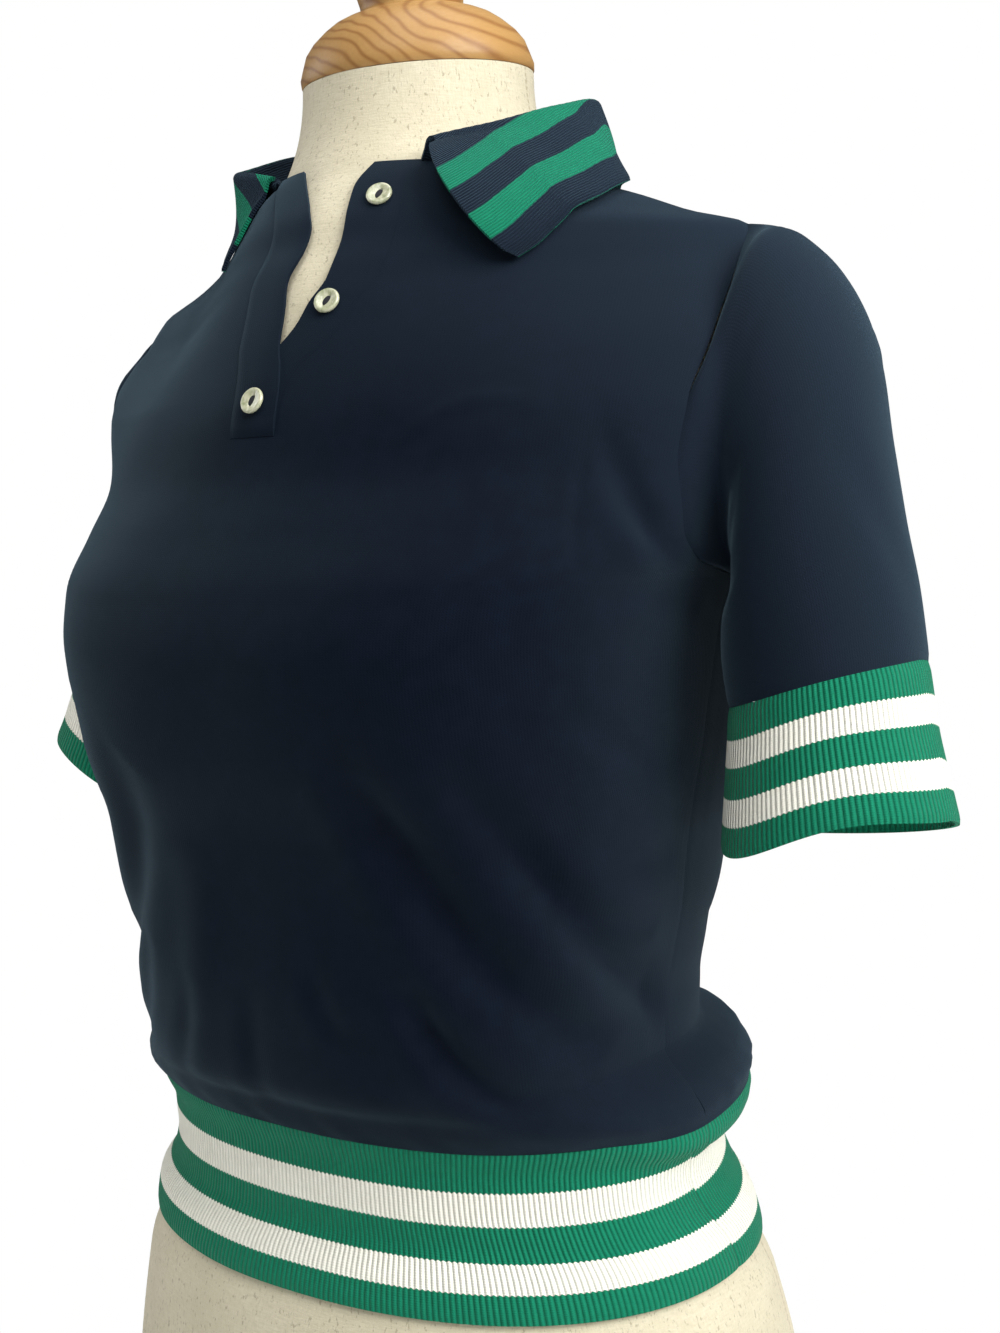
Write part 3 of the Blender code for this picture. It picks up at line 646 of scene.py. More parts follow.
# %% Striped rib
def make_rib():
    """Cotton rib in green and cream: round columns with dark grooves, and stripes 14 mm high."""
    material, tree, shader = new_material(
        "striped_cotton_rib", Roughness=0.75, Sheen_Weight=0.05, Sheen_Roughness=0.3, Specular_IOR_Level=0.1
    )
    uv, u, v = knit_uv(tree)
    column = wave_of(tree, u, RIB_PITCH)
    ridge = add(tree, "Math", {0: column, 1: 0.6}, operation="POWER")
    low = add(tree, "Math", {0: v, 1: STRIPE / 2}, operation="MAXIMUM")
    within = add(tree, "Math", {0: low, 1: RIB_HEIGHT - STRIPE / 2}, operation="MINIMUM")
    step = add(tree, "Math", {0: column, 1: -0.6, 2: within}, operation="MULTIPLY_ADD")
    stripe = add(tree, "MapRange", {0: wave_of(tree, step, 2 * STRIPE, 0.15), 1: 0.43, 2: 0.46})
    patch = add(tree, "TexNoise", {"Vector": uv, "Scale": 0.12, "Detail": 3.0, "Roughness": 0.6})
    green = add(tree, "Mix", {0: patch, 6: colour("107457"), 7: colour("14805f")}, 2, data_type="RGBA")
    cream = add(tree, "Mix", {0: patch, 6: colour("fbfaee"), 7: colour("f4f2e2")}, 2, data_type="RGBA")
    tone = add(tree, "Mix", {0: stripe, 6: cream, 7: green}, 2, data_type="RGBA")
    depth = add(tree, "MapRange", {0: stripe, 1: 0.0, 2: 1.0, 3: 0.2, 4: 0.4})
    groove = add(tree, "MapRange", {0: column, 1: 0.0, 2: 0.42, 3: 1.0, 4: 0.0})
    groove = add(tree, "Math", {0: groove, 1: depth}, operation="MULTIPLY")
    shade = {0: groove, 6: tone, 7: colour("7f8a80")}
    tone = add(tree, "Mix", shade, 2, data_type="RGBA", blend_type="MULTIPLY")
    course = wave_of(tree, v, 1.1)
    loops = add(tree, "Math", {0: course, 1: 0.12, 2: ridge}, operation="MULTIPLY_ADD")
    fibre = add(tree, "TexNoise", {"Vector": uv, "Scale": 1.6, "Detail": 4.0, "Roughness": 0.6})
    height = add(tree, "Math", {0: fibre, 1: 0.22, 2: loops}, operation="MULTIPLY_ADD")
    finish_material(tree, shader, tone, height, 0.0008)
    return material


RIB = make_rib()
print(RIB.name, len(RIB.node_tree.nodes), "nodes")

# %% [markdown]
# ### Collar knit
# The collar is knitted sideways, so its fine ribs run along it and its two stripes follow its edge.
# V is measured from that edge. Brushed lint breaks up the stripes' borders.

# %% Collar rib
COLLAR_STRIPES_END = 58.5


def make_collar_knit():
    """Soft brushed collar knit: navy with two green stripes, fine ribs along its length and lint."""
    material, tree, shader = new_material(
        "brushed_collar_knit", Roughness=0.8, Sheen_Weight=0.12, Sheen_Roughness=0.5,
        Sheen_Tint=colour("a9d6ee"), Specular_IOR_Level=0.05,
    )
    uv, _, v = knit_uv(tree)
    waver = add(tree, "TexNoise", {"Vector": uv, "Scale": 0.35, "Detail": 3.0, "Roughness": 0.6})
    waver = add(tree, "Math", {0: waver, 1: 0.8, 2: v}, operation="MULTIPLY_ADD")
    stripe = add(tree, "MapRange", {0: wave_of(tree, waver, 2 * STRIPE, -0.1), 1: 0.47, 2: 0.53})
    ends = {0: v, 1: COLLAR_STRIPES_END - 1, 2: COLLAR_STRIPES_END, 3: 1.0, 4: 0.0}
    within = add(tree, "MapRange", ends)
    row = wave_of(tree, waver, 1.25)
    patch = add(tree, "TexNoise", {"Vector": uv, "Scale": 0.15, "Detail": 3.0, "Roughness": 0.6})
    navy = add(tree, "Mix", {0: patch, 6: colour("121a27"), 7: colour("18212f")}, 2, data_type="RGBA")
    green = add(tree, "Mix", {0: patch, 6: colour("0f6f52"), 7: colour("147e5c")}, 2, data_type="RGBA")
    tone = add(tree, "Mix", {0: stripe, 6: green, 7: navy}, 2, data_type="RGBA")
    tone = add(tree, "Mix", {0: within, 6: navy, 7: tone}, 2, data_type="RGBA")
    # Painted shade: the grooves between the collar's fine ribs are darkened, as where shade falls in them.
    groove = add(tree, "MapRange", {0: row, 1: 0.0, 2: 0.6, 3: 0.35, 4: 0.0})
    shade = {0: groove, 6: tone, 7: colour("3f4a4c")}
    tone = add(tree, "Mix", shade, 2, data_type="RGBA", blend_type="MULTIPLY")
    specks = add(tree, "TexNoise", {"Vector": uv, "Scale": 1.1, "Detail": 6.0, "Roughness": 0.8})
    lint = add(tree, "MapRange", {0: specks, 1: 0.64, 2: 0.72, 3: 0.0, 4: 0.3})
    tone = add(tree, "Mix", {0: lint, 6: tone, 7: colour("6f8f8a")}, 2, data_type="RGBA")
    fibre = add(tree, "TexNoise", {"Vector": uv, "Scale": 1.8, "Detail": 5.0, "Roughness": 0.7})
    height = add(tree, "Math", {0: fibre, 1: 0.7, 2: row}, operation="MULTIPLY_ADD")
    finish_material(tree, shader, tone, height, 0.0004)
    return material


COLLAR_KNIT = make_collar_knit()
print(COLLAR_KNIT.name, len(COLLAR_KNIT.node_tree.nodes), "nodes")

# %% [markdown]
# ### Linen
# Dress forms are covered in unbleached linen. Two noises, one drawn out along the weft and one
# along the warp, give its uneven threads, and two more its cloudy tone and dark flecks. A line of
# stitches runs down its left side.


# %% Linen
def make_linen():
    """Unbleached linen: a plain weave with slubs and small dark flecks."""
    material, tree, shader = new_material("unbleached_linen", Roughness=0.92, Sheen_Weight=0.12)
    place = millimetres(tree)
    long_x = add(tree, "VectorMath", {0: place, 1: (0.16, 0.16, 1.1)}, operation="MULTIPLY")
    long_z = add(tree, "VectorMath", {0: place, 1: (1.1, 1.1, 0.14)}, operation="MULTIPLY")
    weft = add(tree, "TexNoise", {"Vector": long_x, "Scale": 1.0, "Detail": 4.0, "Roughness": 0.7})
    warp = add(tree, "TexNoise", {"Vector": long_z, "Scale": 1.0, "Detail": 4.0, "Roughness": 0.7})
    weave = add(tree, "Math", {0: weft, 1: warp}, operation="ADD")
    raised = add(tree, "MapRange", {0: weave, 1: 0.7, 2: 1.3})
    tone = add(tree, "Mix", {0: raised, 6: colour("c4bb9f"), 7: colour("d5cdb5")}, 2, data_type="RGBA")
    patch = add(tree, "TexNoise", {"Vector": place, "Scale": 0.02, "Detail": 3.0, "Roughness": 0.6})
    patch = add(tree, "MapRange", {0: patch, 1: 0.35, 2: 0.65, 3: 0.0, 4: 0.5})
    tone = add(tree, "Mix", {0: patch, 6: tone, 7: colour("bfb69b")}, 2, data_type="RGBA")
    spot = add(tree, "VectorMath", {0: place, 1: (0.8, 0.8, 0.35)}, operation="MULTIPLY")
    fleck = add(tree, "TexNoise", {"Vector": spot, "Scale": 0.85, "Detail": 3.0, "Roughness": 0.6})
    fleck = add(tree, "MapRange", {0: fleck, 1: 0.6, 2: 0.67, 3: 0.0, 4: 0.5})
    tone = add(tree, "Mix", {0: fleck, 6: tone, 7: colour("7d7058")}, 2, data_type="RGBA")
    x, y, z = (add(tree, "SeparateXYZ", {0: place}, k) for k in range(3))
    beside = add(tree, "Math", {0: x, 1: -0.2, 2: y}, operation="MULTIPLY_ADD")
    seam = add(tree, "Math", {0: beside, 1: 2.4, 2: 1.0}, operation="COMPARE")
    stitches = add(tree, "MapRange", {0: wave_of(tree, z, 3.0), 1: 0.35, 2: 0.5, 3: 0.25, 4: 0.8})
    seam = add(tree, "Math", {0: seam, 1: stitches}, operation="MULTIPLY")
    side = add(tree, "Math", {0: x, 1: 0.0}, operation="GREATER_THAN")
    seam = add(tree, "Math", {0: seam, 1: side}, operation="MULTIPLY")
    tone = add(tree, "Mix", {0: seam, 6: tone, 7: colour("a99d80")}, 2, data_type="RGBA")
    finish_material(tree, shader, tone, weave, 0.00025)
    return material


LINEN = make_linen()
print(LINEN.name, len(LINEN.node_tree.nodes), "nodes")

# %% [markdown]
# ### Pine
# The cap is turned from pine. Growth rings are cylinders round the tree's heart, so the distance
# from a point beside the cap, bent a little by noise, gives rings that curve as sawn ones do.


# %% Pine
def make_wood():
    """Varnished pine: pale rings with darker late growth, turned across the grain."""
    material, tree, shader = new_material(
        "varnished_pine", Coat_Weight=0.12, Coat_Roughness=0.3, Specular_IOR_Level=0.25
    )
    shifted = add(tree, "VectorMath", {0: millimetres(tree), 1: (78, 40, -560)}, operation="ADD")
    squeezed = add(tree, "VectorMath", {0: shifted, 1: (1, 0.22, 1)}, operation="MULTIPLY")
    bent = add(tree, "TexNoise", {"Vector": squeezed, "Scale": 0.02, "Detail": 2.0, "Roughness": 0.6})
    distance = add(tree, "VectorMath", {0: squeezed}, 1, operation="LENGTH")
    rings = add(tree, "Math", {0: bent, 1: 26.0, 2: distance}, operation="MULTIPLY_ADD")
    ring = add(tree, "Math", {0: wave_of(tree, rings, 5.5), 1: 3.5}, operation="POWER")
    streak = add(tree, "VectorMath", {0: squeezed, 1: (0.7, 0.12, 0.7)}, operation="MULTIPLY")
    fine = add(tree, "TexNoise", {"Vector": streak, "Scale": 1.0, "Detail": 5.0, "Roughness": 0.7})
    tone = add(tree, "Mix", {0: ring, 6: colour("ab844f"), 7: colour("8a5f33")}, 2, data_type="RGBA")
    streaks = add(tree, "MapRange", {0: fine, 1: 0.35, 2: 0.7, 3: 0.0, 4: 0.35})
    tone = add(tree, "Mix", {0: streaks, 6: tone, 7: colour("9c733e")}, 2, data_type="RGBA")
    rough = add(tree, "MapRange", {0: fine, 1: 0.3, 2: 0.7, 3: 0.32, 4: 0.5})
    finish_material(tree, shader, tone, fine, 0.00012, rough=rough)
    return material


WOOD = make_wood()
print(WOOD.name, len(WOOD.node_tree.nodes), "nodes")

# %% [markdown]
# ### Shell and thread
# Buttons cut from shell are cloudy, pale grey-green layers under a polish, which is the shader's
# coat. The thread that holds them is too thin to show more than its dark twist.


# %% Shell and thread
def make_pearl():
    """Shell button: pale grey-green nacre in cloudy layers under a polish."""
    material, tree, shader = new_material(
        "shell_nacre", Roughness=0.22, Coat_Weight=0.6, Coat_Roughness=0.08, IOR=1.58
    )
    place = millimetres(tree)
    cloud = add(tree, "TexNoise", {"Vector": place, "Scale": 0.28, "Detail": 3.0, "Roughness": 0.6})
    cloud = add(tree, "MapRange", {0: cloud, 1: 0.35, 2: 0.65})
    tone = add(tree, "Mix", {0: cloud, 6: colour("bcbc9e"), 7: colour("8f9672")}, 2, data_type="RGBA")
    layered = add(tree, "VectorMath", {0: place, 1: (0.9, 0.9, 0.3)}, operation="MULTIPLY")
    layer = add(tree, "TexNoise", {"Vector": layered, "Scale": 0.8, "Detail": 5.0, "Roughness": 0.6})
    # The paler layers are partly the nacre's own tone and partly a painted sheen.
    pale = add(tree, "MapRange", {0: layer, 1: 0.45, 2: 0.7, 3: 0.0, 4: 0.5})
    tone = add(tree, "Mix", {0: pale, 6: tone, 7: colour("d9d6c4")}, 2, data_type="RGBA")
    finish_material(tree, shader, tone, layer, 0.00008)
    return material


def make_thread():
    """Dark sewing thread: fine twisted plies."""
    material, tree, shader = new_material("dark_sewing_thread", Roughness=0.8)
    place = millimetres(tree)
    ply = add(tree, "TexNoise", {"Vector": place, "Scale": 3.0, "Detail": 2.0, "Roughness": 0.6})
    tone = add(tree, "Mix", {0: ply, 6: colour("06080d"), 7: colour("141821")}, 2, data_type="RGBA")
    finish_material(tree, shader, tone, ply, 0.0001)
    return material


PEARL, THREAD = make_pearl(), make_thread()
print(PEARL.name, "and", THREAD.name)

# %% [markdown]
# ## Cloth
# Real cloth has two sides and a thickness, which shows at every free edge. A sheet starts as a grid
# primitive. Its corners are placed on the skin, its UV map is set in millimetres, and a Solidify
# modifier, which keeps the wall even round every fold, gives it the knit's thickness inwards.


# %% Sheet maker
def start_piece(name):
    piece = bpy.context.active_object
    piece.name = name
    piece.data.name = name
    return piece


def apply_modifier(piece, name):
    bpy.context.view_layer.objects.active = piece
    bpy.ops.object.modifier_apply(modifier=name)


def sheet(name, skin, thickness, material, uv, holes=None):
    """A closed thin wall on a skin. holes marks the grid's faces that are left out."""
    points = skin.points
    if skin.wrap:
        points = np.concatenate([points, points[:, :1]], axis=1)
    rows, columns = points.shape[:2]
    bpy.ops.object.select_all(action="DESELECT")
    bpy.ops.mesh.primitive_grid_add(x_subdivisions=columns - 1, y_subdivisions=rows - 1, size=1)
    piece = start_piece(name)
    mesh = piece.data
    world = (points.reshape(-1, 3) + [0, 0, HEM_ABOVE_BASE]) * MM
    mesh.vertices.foreach_set("co", world.ravel())
    corner = np.empty(len(mesh.loops), np.int32)
    mesh.loops.foreach_get("vertex_index", corner)
    mesh.uv_layers.active.data.foreach_set("uv", uv.reshape(-1, 2)[corner].astype(np.float32).ravel())
    bpy.context.tool_settings.mesh_select_mode = (False, False, True)
    bpy.ops.object.mode_set(mode="EDIT")
    if holes is not None:
        bpy.ops.mesh.select_all(action="DESELECT")
        bpy.ops.object.mode_set(mode="OBJECT")
        mesh.polygons.foreach_set("select", holes.ravel())
        bpy.ops.object.mode_set(mode="EDIT")
        bpy.ops.mesh.delete(type="FACE")
    bpy.ops.mesh.select_all(action="SELECT")
    if skin.wrap:
        bpy.ops.mesh.remove_doubles(threshold=1e-6)
    if skin.flip:
        bpy.ops.mesh.flip_normals()
    bpy.ops.object.mode_set(mode="OBJECT")
    wall = piece.modifiers.new("wall", "SOLIDIFY")
    wall.thickness = thickness * MM
    wall.offset = -1
    apply_modifier(piece, "wall")
    bpy.ops.object.shade_smooth()
    piece.data.set_sharp_from_angle(angle=math.radians(55))
    piece.data.materials.append(material)
    return piece


print("a jersey wall is", KNIT, "mm and a rib wall", RIB_WALL, "mm thick")


# %% Pattern maps and edges
def panel_uv(skin, rise_from):
    """U along the row from the middle of the piece and V as the height, both in millimetres."""
    girth = skin.girth()
    u = girth - girth[:, -1:] / 2
    v = skin.rise() + rise_from
    return np.stack([u, v], axis=-1)


def ring_uv(skin, v_rows, pitch):
    """U round a tube in whole pitches and V by row, with the seam's column twice."""
    closed = np.concatenate([skin.points, skin.points[:, :1]], axis=1)
    run = np.linalg.norm(np.diff(closed, axis=1), axis=-1).mean(axis=0)
    u = np.concatenate([[0], np.cumsum(run)])
    u *= round(u[-1] / pitch) * pitch / u[-1]
    return np.stack(np.broadcast_arrays(u[None, :], np.asarray(v_rows, float)[:, None]), axis=-1)


def rounded_edge(skin, row, inner, depth):
    """Turns a free edge in a little, as a finished edge rolls."""
    skin.points[row] -= skin.normals[row] * depth
    skin.points[inner] -= skin.normals[inner] * depth * 0.25


print("free edges roll in by", EDGE_ROLL, "mm")


# %% Putting a sheet in place
def declare(piece, node):
    """Sets the piece to ride in the frame in place of its CAD node, which it hides, and prints its faces and
    area on one side.
    """
    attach(piece, "root")
    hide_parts(node)
    one_side = sum(face.area for face in piece.data.polygons) / 2
    print(f"{piece.name}: {len(piece.data.polygons)} faces, {one_side:.4f} square metres")


# %% [markdown]
# ## Front and back
# The front is one panel with a slot for the placket, and the back is plain. Each row of a panel
# runs round its section from armhole to armhole, so its edge columns are the seams. They could be
# cut from a whole torso, but rows laid this way need no cutting and give even meshes.

# %% Rows of the panels
MESH_STEP = 2.8
SIDE_COLUMNS = 82
MIDDLE_COLUMNS = 11
BACK_COLUMNS = 160
PANEL_HEIGHTS = between([RIB_HEIGHT, 105, UNDERARM, 320, SLOT_BOTTOM, SHOULDER, NECKLINE], MESH_STEP)


def front_row(height):
    edge = reach(height, "front")
    right = angle_at_x(height, placket_seam("over", height))
    left = angle_at_x(height, placket_seam("under", height))
    return np.concatenate([
        stretch(height, "front", -edge, right, SIDE_COLUMNS)[:-1],
        stretch(height, "front", right, left, MIDDLE_COLUMNS),
        stretch(height, "front", left, edge, SIDE_COLUMNS)[1:],
    ])


def back_row(height):
    edge = reach(height, "back")
    return stretch(height, "back", -edge, edge, BACK_COLUMNS)


print(len(PANEL_HEIGHTS), "rows from", PANEL_HEIGHTS[0], "to", PANEL_HEIGHTS[-1], "mm")

# %% Front and back panels
PUCKERS_TOP = 100.0
PUCKER_DEPTH = 0.35
BLOUSON_DROOP = 4.0
DROOP_HEIGHT, DROOP_SPREAD = 79.0, 7.0

front = Skin([front_row(height) for height in PANEL_HEIGHTS])
back = Skin([back_row(height) for height in PANEL_HEIGHTS], flip=True)
for skin, folds in ((front, FRONT_FOLDS), (back, BACK_FOLDS)):
    uv = panel_uv(skin, RIB_HEIGHT)
    skin.flat_uv = uv
    z = skin.points[..., 2].copy()
    girth = skin.girth()
    bridged(skin, girth[:, -1:] - girth, 1, "on_panel")
    bridged(skin, girth, -1, "on_panel")
    skin.press(-flared(skin))
    skin.points[..., 2] -= BLOUSON_DROOP * behind(skin) * np.exp(-(((z - DROOP_HEIGHT) / DROOP_SPREAD) ** 2))
    gathers = puckers(skin, RIB_HEIGHT, PUCKERS_TOP, PUCKER_DEPTH)
    skin.press(troughs(skin, folds) + gathers + unevenness(skin, JERSEY_UNEVEN))
    sides = seam_groove(skin, ["first_column", "last_column"], 0.12, 1.3)
    skin.press(seam_groove(skin, ["first_row"]) + sides)

slot = np.zeros((len(PANEL_HEIGHTS) - 1, 2 * SIDE_COLUMNS + MIDDLE_COLUMNS - 3), bool)
open_rows = PANEL_HEIGHTS[:-1] >= SLOT_BOTTOM - 0.01
slot[np.ix_(open_rows, np.arange(SIDE_COLUMNS - 1, SIDE_COLUMNS + MIDDLE_COLUMNS - 2))] = True
front_piece = sheet("front_jersey", front, KNIT, JERSEY, front.flat_uv, slot)
declare(front_piece, "front_panel")
back_piece = sheet("back_jersey", back, KNIT, JERSEY, back.flat_uv)
declare(back_piece, "back_panel")

# %% [markdown]
# ## Hem ribs
# The rib is shorter round than the body it is linked to, so it draws the jersey in. Front and back
# are two bands joined at the side seams. Their stripes come from the material, by the UV map, and
# lie a few millimetres lower in the middle of the band's height, where it draws in.

# %% Hem ribs
HEM_STEP = 2.4
STRIPE_SAG = 4.0
BACK_RIB_SHIFT = 1.1
HEM_HEIGHTS = between([STRIPE * i for i in range(6)], HEM_STEP)
SIDE = math.pi / 2
hem_front = Skin([stretch(height, "front", -SIDE, SIDE, 170) for height in HEM_HEIGHTS])
hem_back = Skin([stretch(height, "back", -SIDE, SIDE, 150) for height in HEM_HEIGHTS], flip=True)
for skin, name, shift in ((hem_front, "front", 0.0), (hem_back, "back", BACK_RIB_SHIFT)):
    uv = panel_uv(skin, 0.0)
    uv[..., 0] = uv[..., 0].mean(axis=0)
    uv[..., 1] *= RIB_HEIGHT / uv[-1:, :, 1]
    uv[..., 1] += STRIPE_SAG * np.sin(np.pi * np.clip(uv[..., 1] / RIB_HEIGHT, 0, 1)) ** 0.7
    uv[..., 1] += shift
    skin.press(-flared(skin))
    groove = seam_groove(skin, ["last_row", "first_column", "last_column"], 0.6)
    skin.press(unevenness(skin, RIB_UNEVEN) + groove)
    rounded_edge(skin, 0, 1, EDGE_ROLL)
    piece = sheet("hem_rib_" + name + "_knit", skin, RIB_WALL, RIB, uv)
    declare(piece, "hem_rib_" + name)


# %% [markdown]
# ## Sleeves and cuffs
# A short sleeve is a tube set into the armhole. Its first ring is the armhole itself and its last
# one the cuff's seam, with ovals between them, and each column of points runs smoothly through all
# of them. The cuff is a shorter tube of rib that carries on from the last ring.

# %% Rings of the sleeves and cuffs
# Sleeves and cuffs as ovals through their top and underarm points, as deep as front and back say.
RING_COLUMNS = ("along", "top_x", "top_z", "under_x", "under_z", "mid_y", "front", "back", "droop", "dip")
LEFT_SLEEVE = Table(
    RING_COLUMNS,
    [
        (1, 180, 448, 165, 303, 2, 44, 50, 0, 0),
        (2, 197, 437, 166, 298, 2, 47, 52, 0, 0),
        (3, 211, 416, 164, 292, 2, 48, 52, 0, 0),
        (4, 220, 390, 160, 284, 1, 48, 50, 0, 0),
        (5, 225, 360, 158, 276, 0, 47, 48, 0, 0),
        (6, 230, 330, 157, 267, 0, 46, 47, 2, 0),
        (7, 236, 300, 157, 258, 0, 45, 46, 3, 0),
        (8, 239, 270, 159, 250, 0, 44, 46, 4, 1),
    ],
)
LEFT_CUFF = Table(
    RING_COLUMNS,
    [
        (0, 239, 270, 159, 250, 0, 44, 46, 4, 1),
        (1, 241, 257, 158, 239, 0, 44, 46, 6, 3),
        (2, 243, 244, 157, 228, 0, 45, 47, 9, 4),
        (3, 246, 231, 156, 217, 0, 46, 48, 11, 5),
        (4, 249, 218, 155, 206, 0, 47, 49, 11, 6),
        (5, 252, 205, 154, 195, 0, 48, 50, 12, 7),
    ],
)
RIGHT_SLEEVE = Table(
    RING_COLUMNS,
    [
        (1, 166, 431, 164, 303, 3, 41, 48, 0, 0),
        (2, 173, 419, 163, 298, 7, 36, 47, 0, 0),
        (3, 181, 400, 161, 292, 11, 34, 46, 0, 0),
        (4, 190, 382, 158, 284, 12, 35, 44, 0, 0),
        (5, 200, 361, 157, 277, 12, 39, 44, 0, 0),
        (6, 209, 337, 155, 268, 11, 41, 44, 2, 0),
        (7, 219, 310, 154, 258, 9, 43, 44, 3, 0),
        (8, 229, 286, 156, 249, 8, 44, 45, 4, 1),
    ],
)
RIGHT_CUFF = Table(
    RING_COLUMNS,
    [
        (0, 229, 286, 156, 249, 8, 44, 45, 4, 1),
        (1, 232, 273, 156, 237, 8, 44, 45, 4, 2),
        (2, 235, 260, 155, 225, 8, 45, 46, 5, 3),
        (3, 240, 248, 154, 213, 6, 48, 47, 5, 4),
        (4, 244, 235, 153, 202, 4, 50, 48, 6, 4),
        (5, 248, 222, 152, 190, 2, 53, 49, 6, 5),
    ],
)
print(len(LEFT_SLEEVE.rows), "rings in a sleeve and", len(LEFT_CUFF.rows), "in a cuff")

# %% Sleeve skin
STEPS_PER_ROW = 6
SLEEVE_ROWS = 80


def armhole_loop(side):
    """The armhole from the underarm, up the front to the shoulder point and down the back."""
    marks = np.arange(len(ARMHOLE_ROWS))
    fine = np.linspace(0, marks[-1], STEPS_PER_ROW * marks[-1] + 1)
    heights = np.interp(fine, marks, ARMHOLE_ROWS)
    front_edge = [section(h, "front", np.array([side * reach(h, "front")]))[0] for h in heights]
    back_edge = [section(h, "back", np.array([side * reach(h, "back")]))[0] for h in heights]
    return np.array(front_edge + back_edge[-2:0:-1])


def ring(table, place, side):
    """One oval of a sleeve or a cuff, point for point with the armhole's loop."""
    value = {name: float(table.at(name, place)) for name in RING_COLUMNS}
    count = 2 * STEPS_PER_ROW * (len(ARMHOLE_ROWS) - 1)
    angles = -np.pi / 2 + 2 * np.pi * np.arange(count) / count
    to_front = np.cos(angles)
    top = np.array([value["top_x"], 0, value["top_z"]])
    under = np.array([value["under_x"], 0, value["under_z"]])
    points = (top + under) / 2 + (top - under) / 2 * np.sin(angles)[:, None]
    depth = np.where(to_front > 0, -value["front"], value["back"])
    points[:, 1] = value["mid_y"] + depth * np.abs(to_front) ** 0.95
    points[:, 2] -= value["droop"] * np.clip(-to_front, 0, 1)
    points[:, 2] -= value["dip"] * np.clip(np.cos(angles + 0.75), 0, 1) ** 3
    points[:, 2] += 0.9 * value["dip"] * np.clip(np.cos(angles - 0.5), 0, 1) ** 3
    points[:, 0] *= side
    return points


def sleeve_skin(table, side):
    """Rings from the armhole to the cuff, each column of points drawn smoothly through them."""
    rings = np.array([armhole_loop(side)] + [ring(table, place, side) for place in table.column("along")])
    fine = np.linspace(0, len(rings) - 1, SLEEVE_ROWS)
    marks = np.arange(len(rings))
    points = np.empty((len(fine), rings.shape[1], 3))
    for j in range(rings.shape[1]):
        for k in range(3):
            points[:, j, k] = smooth(marks, rings[:, j, k], fine)
    return Skin(points, flip=side > 0, wrap=True)


print("the left armhole measures", round(float(along(armhole_loop(1))[-1])), "mm round")

# %% Sleeve folds
# Troughs in a sleeve: degrees round it (-90 underarm, 0 front, 90 top, 180 back) and the share of
# its length from the armhole to the cuff.
SLEEVE_FOLDS = Table(
    ("turn_0", "share_0", "turn_1", "share_1", "depth", "width"),
    [
        (-78, 0.10, -30, 0.62, 3.0, 9),
        (-60, 0.02, -8, 0.34, 1.8, 7),
        (-104, 0.12, -150, 0.60, 3.0, 9),
        (10, 0.20, 62, 0.27, 0.8, 4),
        (108, 0.01, 124, 0.48, 4.5, 4.5),
        (122, 0.06, 136, 0.30, 3.0, 8),
        (130, 0.25, 144, 0.47, -5.5, 8),
        (122, 0.44, 156, 0.56, 3.5, 7),
        (150, 0.08, 186, 0.70, 2.6, 9),
        (44, 0.55, 96, 0.92, 1.2, 9),
        (-84, 0.55, -62, 1.00, 2.4, 8),
    ],
)
# One degree round a sleeve, and the whole of its length, in millimetres.
DEGREE_LENGTH = 0.83
SLEEVE_LENGTH = 160.0


def sleeve_troughs(skin):
    """The depth of the sleeve's folds at each point, fading out before both seams."""
    rows, columns = skin.points.shape[:2]
    turn = -90 + 360 * np.arange(columns) / columns
    share = np.linspace(0, 1, rows)[:, None] * np.ones(columns)
    total = np.zeros((rows, columns))
    for turn_0, share_0, turn_1, share_1, depth, width in SLEEVE_FOLDS.rows:
        around = ((turn[None, :] - turn_0 + 180) % 360 - 180) * DEGREE_LENGTH
        down = (share - share_0) * SLEEVE_LENGTH
        run_a, run_d = (turn_1 - turn_0) * DEGREE_LENGTH, (share_1 - share_0) * SLEEVE_LENGTH
        length = math.hypot(run_a, run_d)
        part = (around * run_a + down * run_d) / length**2
        aside = (around * run_d - down * run_a) / length
        total += depth * np.sin(np.pi * np.clip(part, 0, 1)) ** 0.7 * np.exp(-((aside / width) ** 2))
    return total * np.clip(share * 12, 0, 1) * np.clip((1 - share) * 10, 0, 1)


def ring_groove(skin, from_start, depth=0.6, width=2.2):
    """A soft valley round a tube at its first or its last ring."""
    rise = skin.rise()
    away = rise if from_start else rise[-1:] - rise
    return depth * np.exp(-((away / width) ** 2))


print(len(SLEEVE_FOLDS.rows), "folds in a sleeve")

# %% Sleeves and cuffs
CUFF_ROWS = 36
HEAD_TUCK = 0.6
HEAD_DEPTH = 0.15
LEFT = (1, "left", LEFT_SLEEVE, LEFT_CUFF)
RIGHT = (-1, "right", RIGHT_SLEEVE, RIGHT_CUFF)

for side, name, sleeve_table, cuff_table in (LEFT, RIGHT):
    skin = sleeve_skin(sleeve_table, side)
    uv = ring_uv(skin, -skin.rise().mean(axis=1), WALE_PITCH)
    bridged(skin, skin.rise(), side, "on_sleeve")
    skin.press(sleeve_troughs(skin) + unevenness(skin, JERSEY_UNEVEN))
    skin.press(ring_groove(skin, True, 0.1, 1.3) + ring_groove(skin, False))
    start = skin.points[2] - skin.points[0]
    start /= np.linalg.norm(start, axis=-1, keepdims=True)
    skin.points[0] -= HEAD_TUCK * start + HEAD_DEPTH * skin.normals[0]
    piece = sheet("sleeve_" + name + "_jersey", skin, KNIT, JERSEY, uv)
    declare(piece, "sleeve_" + name)
    places = np.linspace(0, 5, CUFF_ROWS)
    skin = Skin([ring(cuff_table, place, side) for place in places], flip=side > 0, wrap=True)
    uv = ring_uv(skin, (5 - places) * STRIPE, RIB_PITCH)
    skin.press(ring_groove(skin, True) + unevenness(skin, RIB_UNEVEN))
    rounded_edge(skin, -1, -2, EDGE_ROLL)
    piece = sheet("cuff_" + name + "_knit", skin, RIB_WALL, RIB, uv)
    declare(piece, "cuff_" + name)

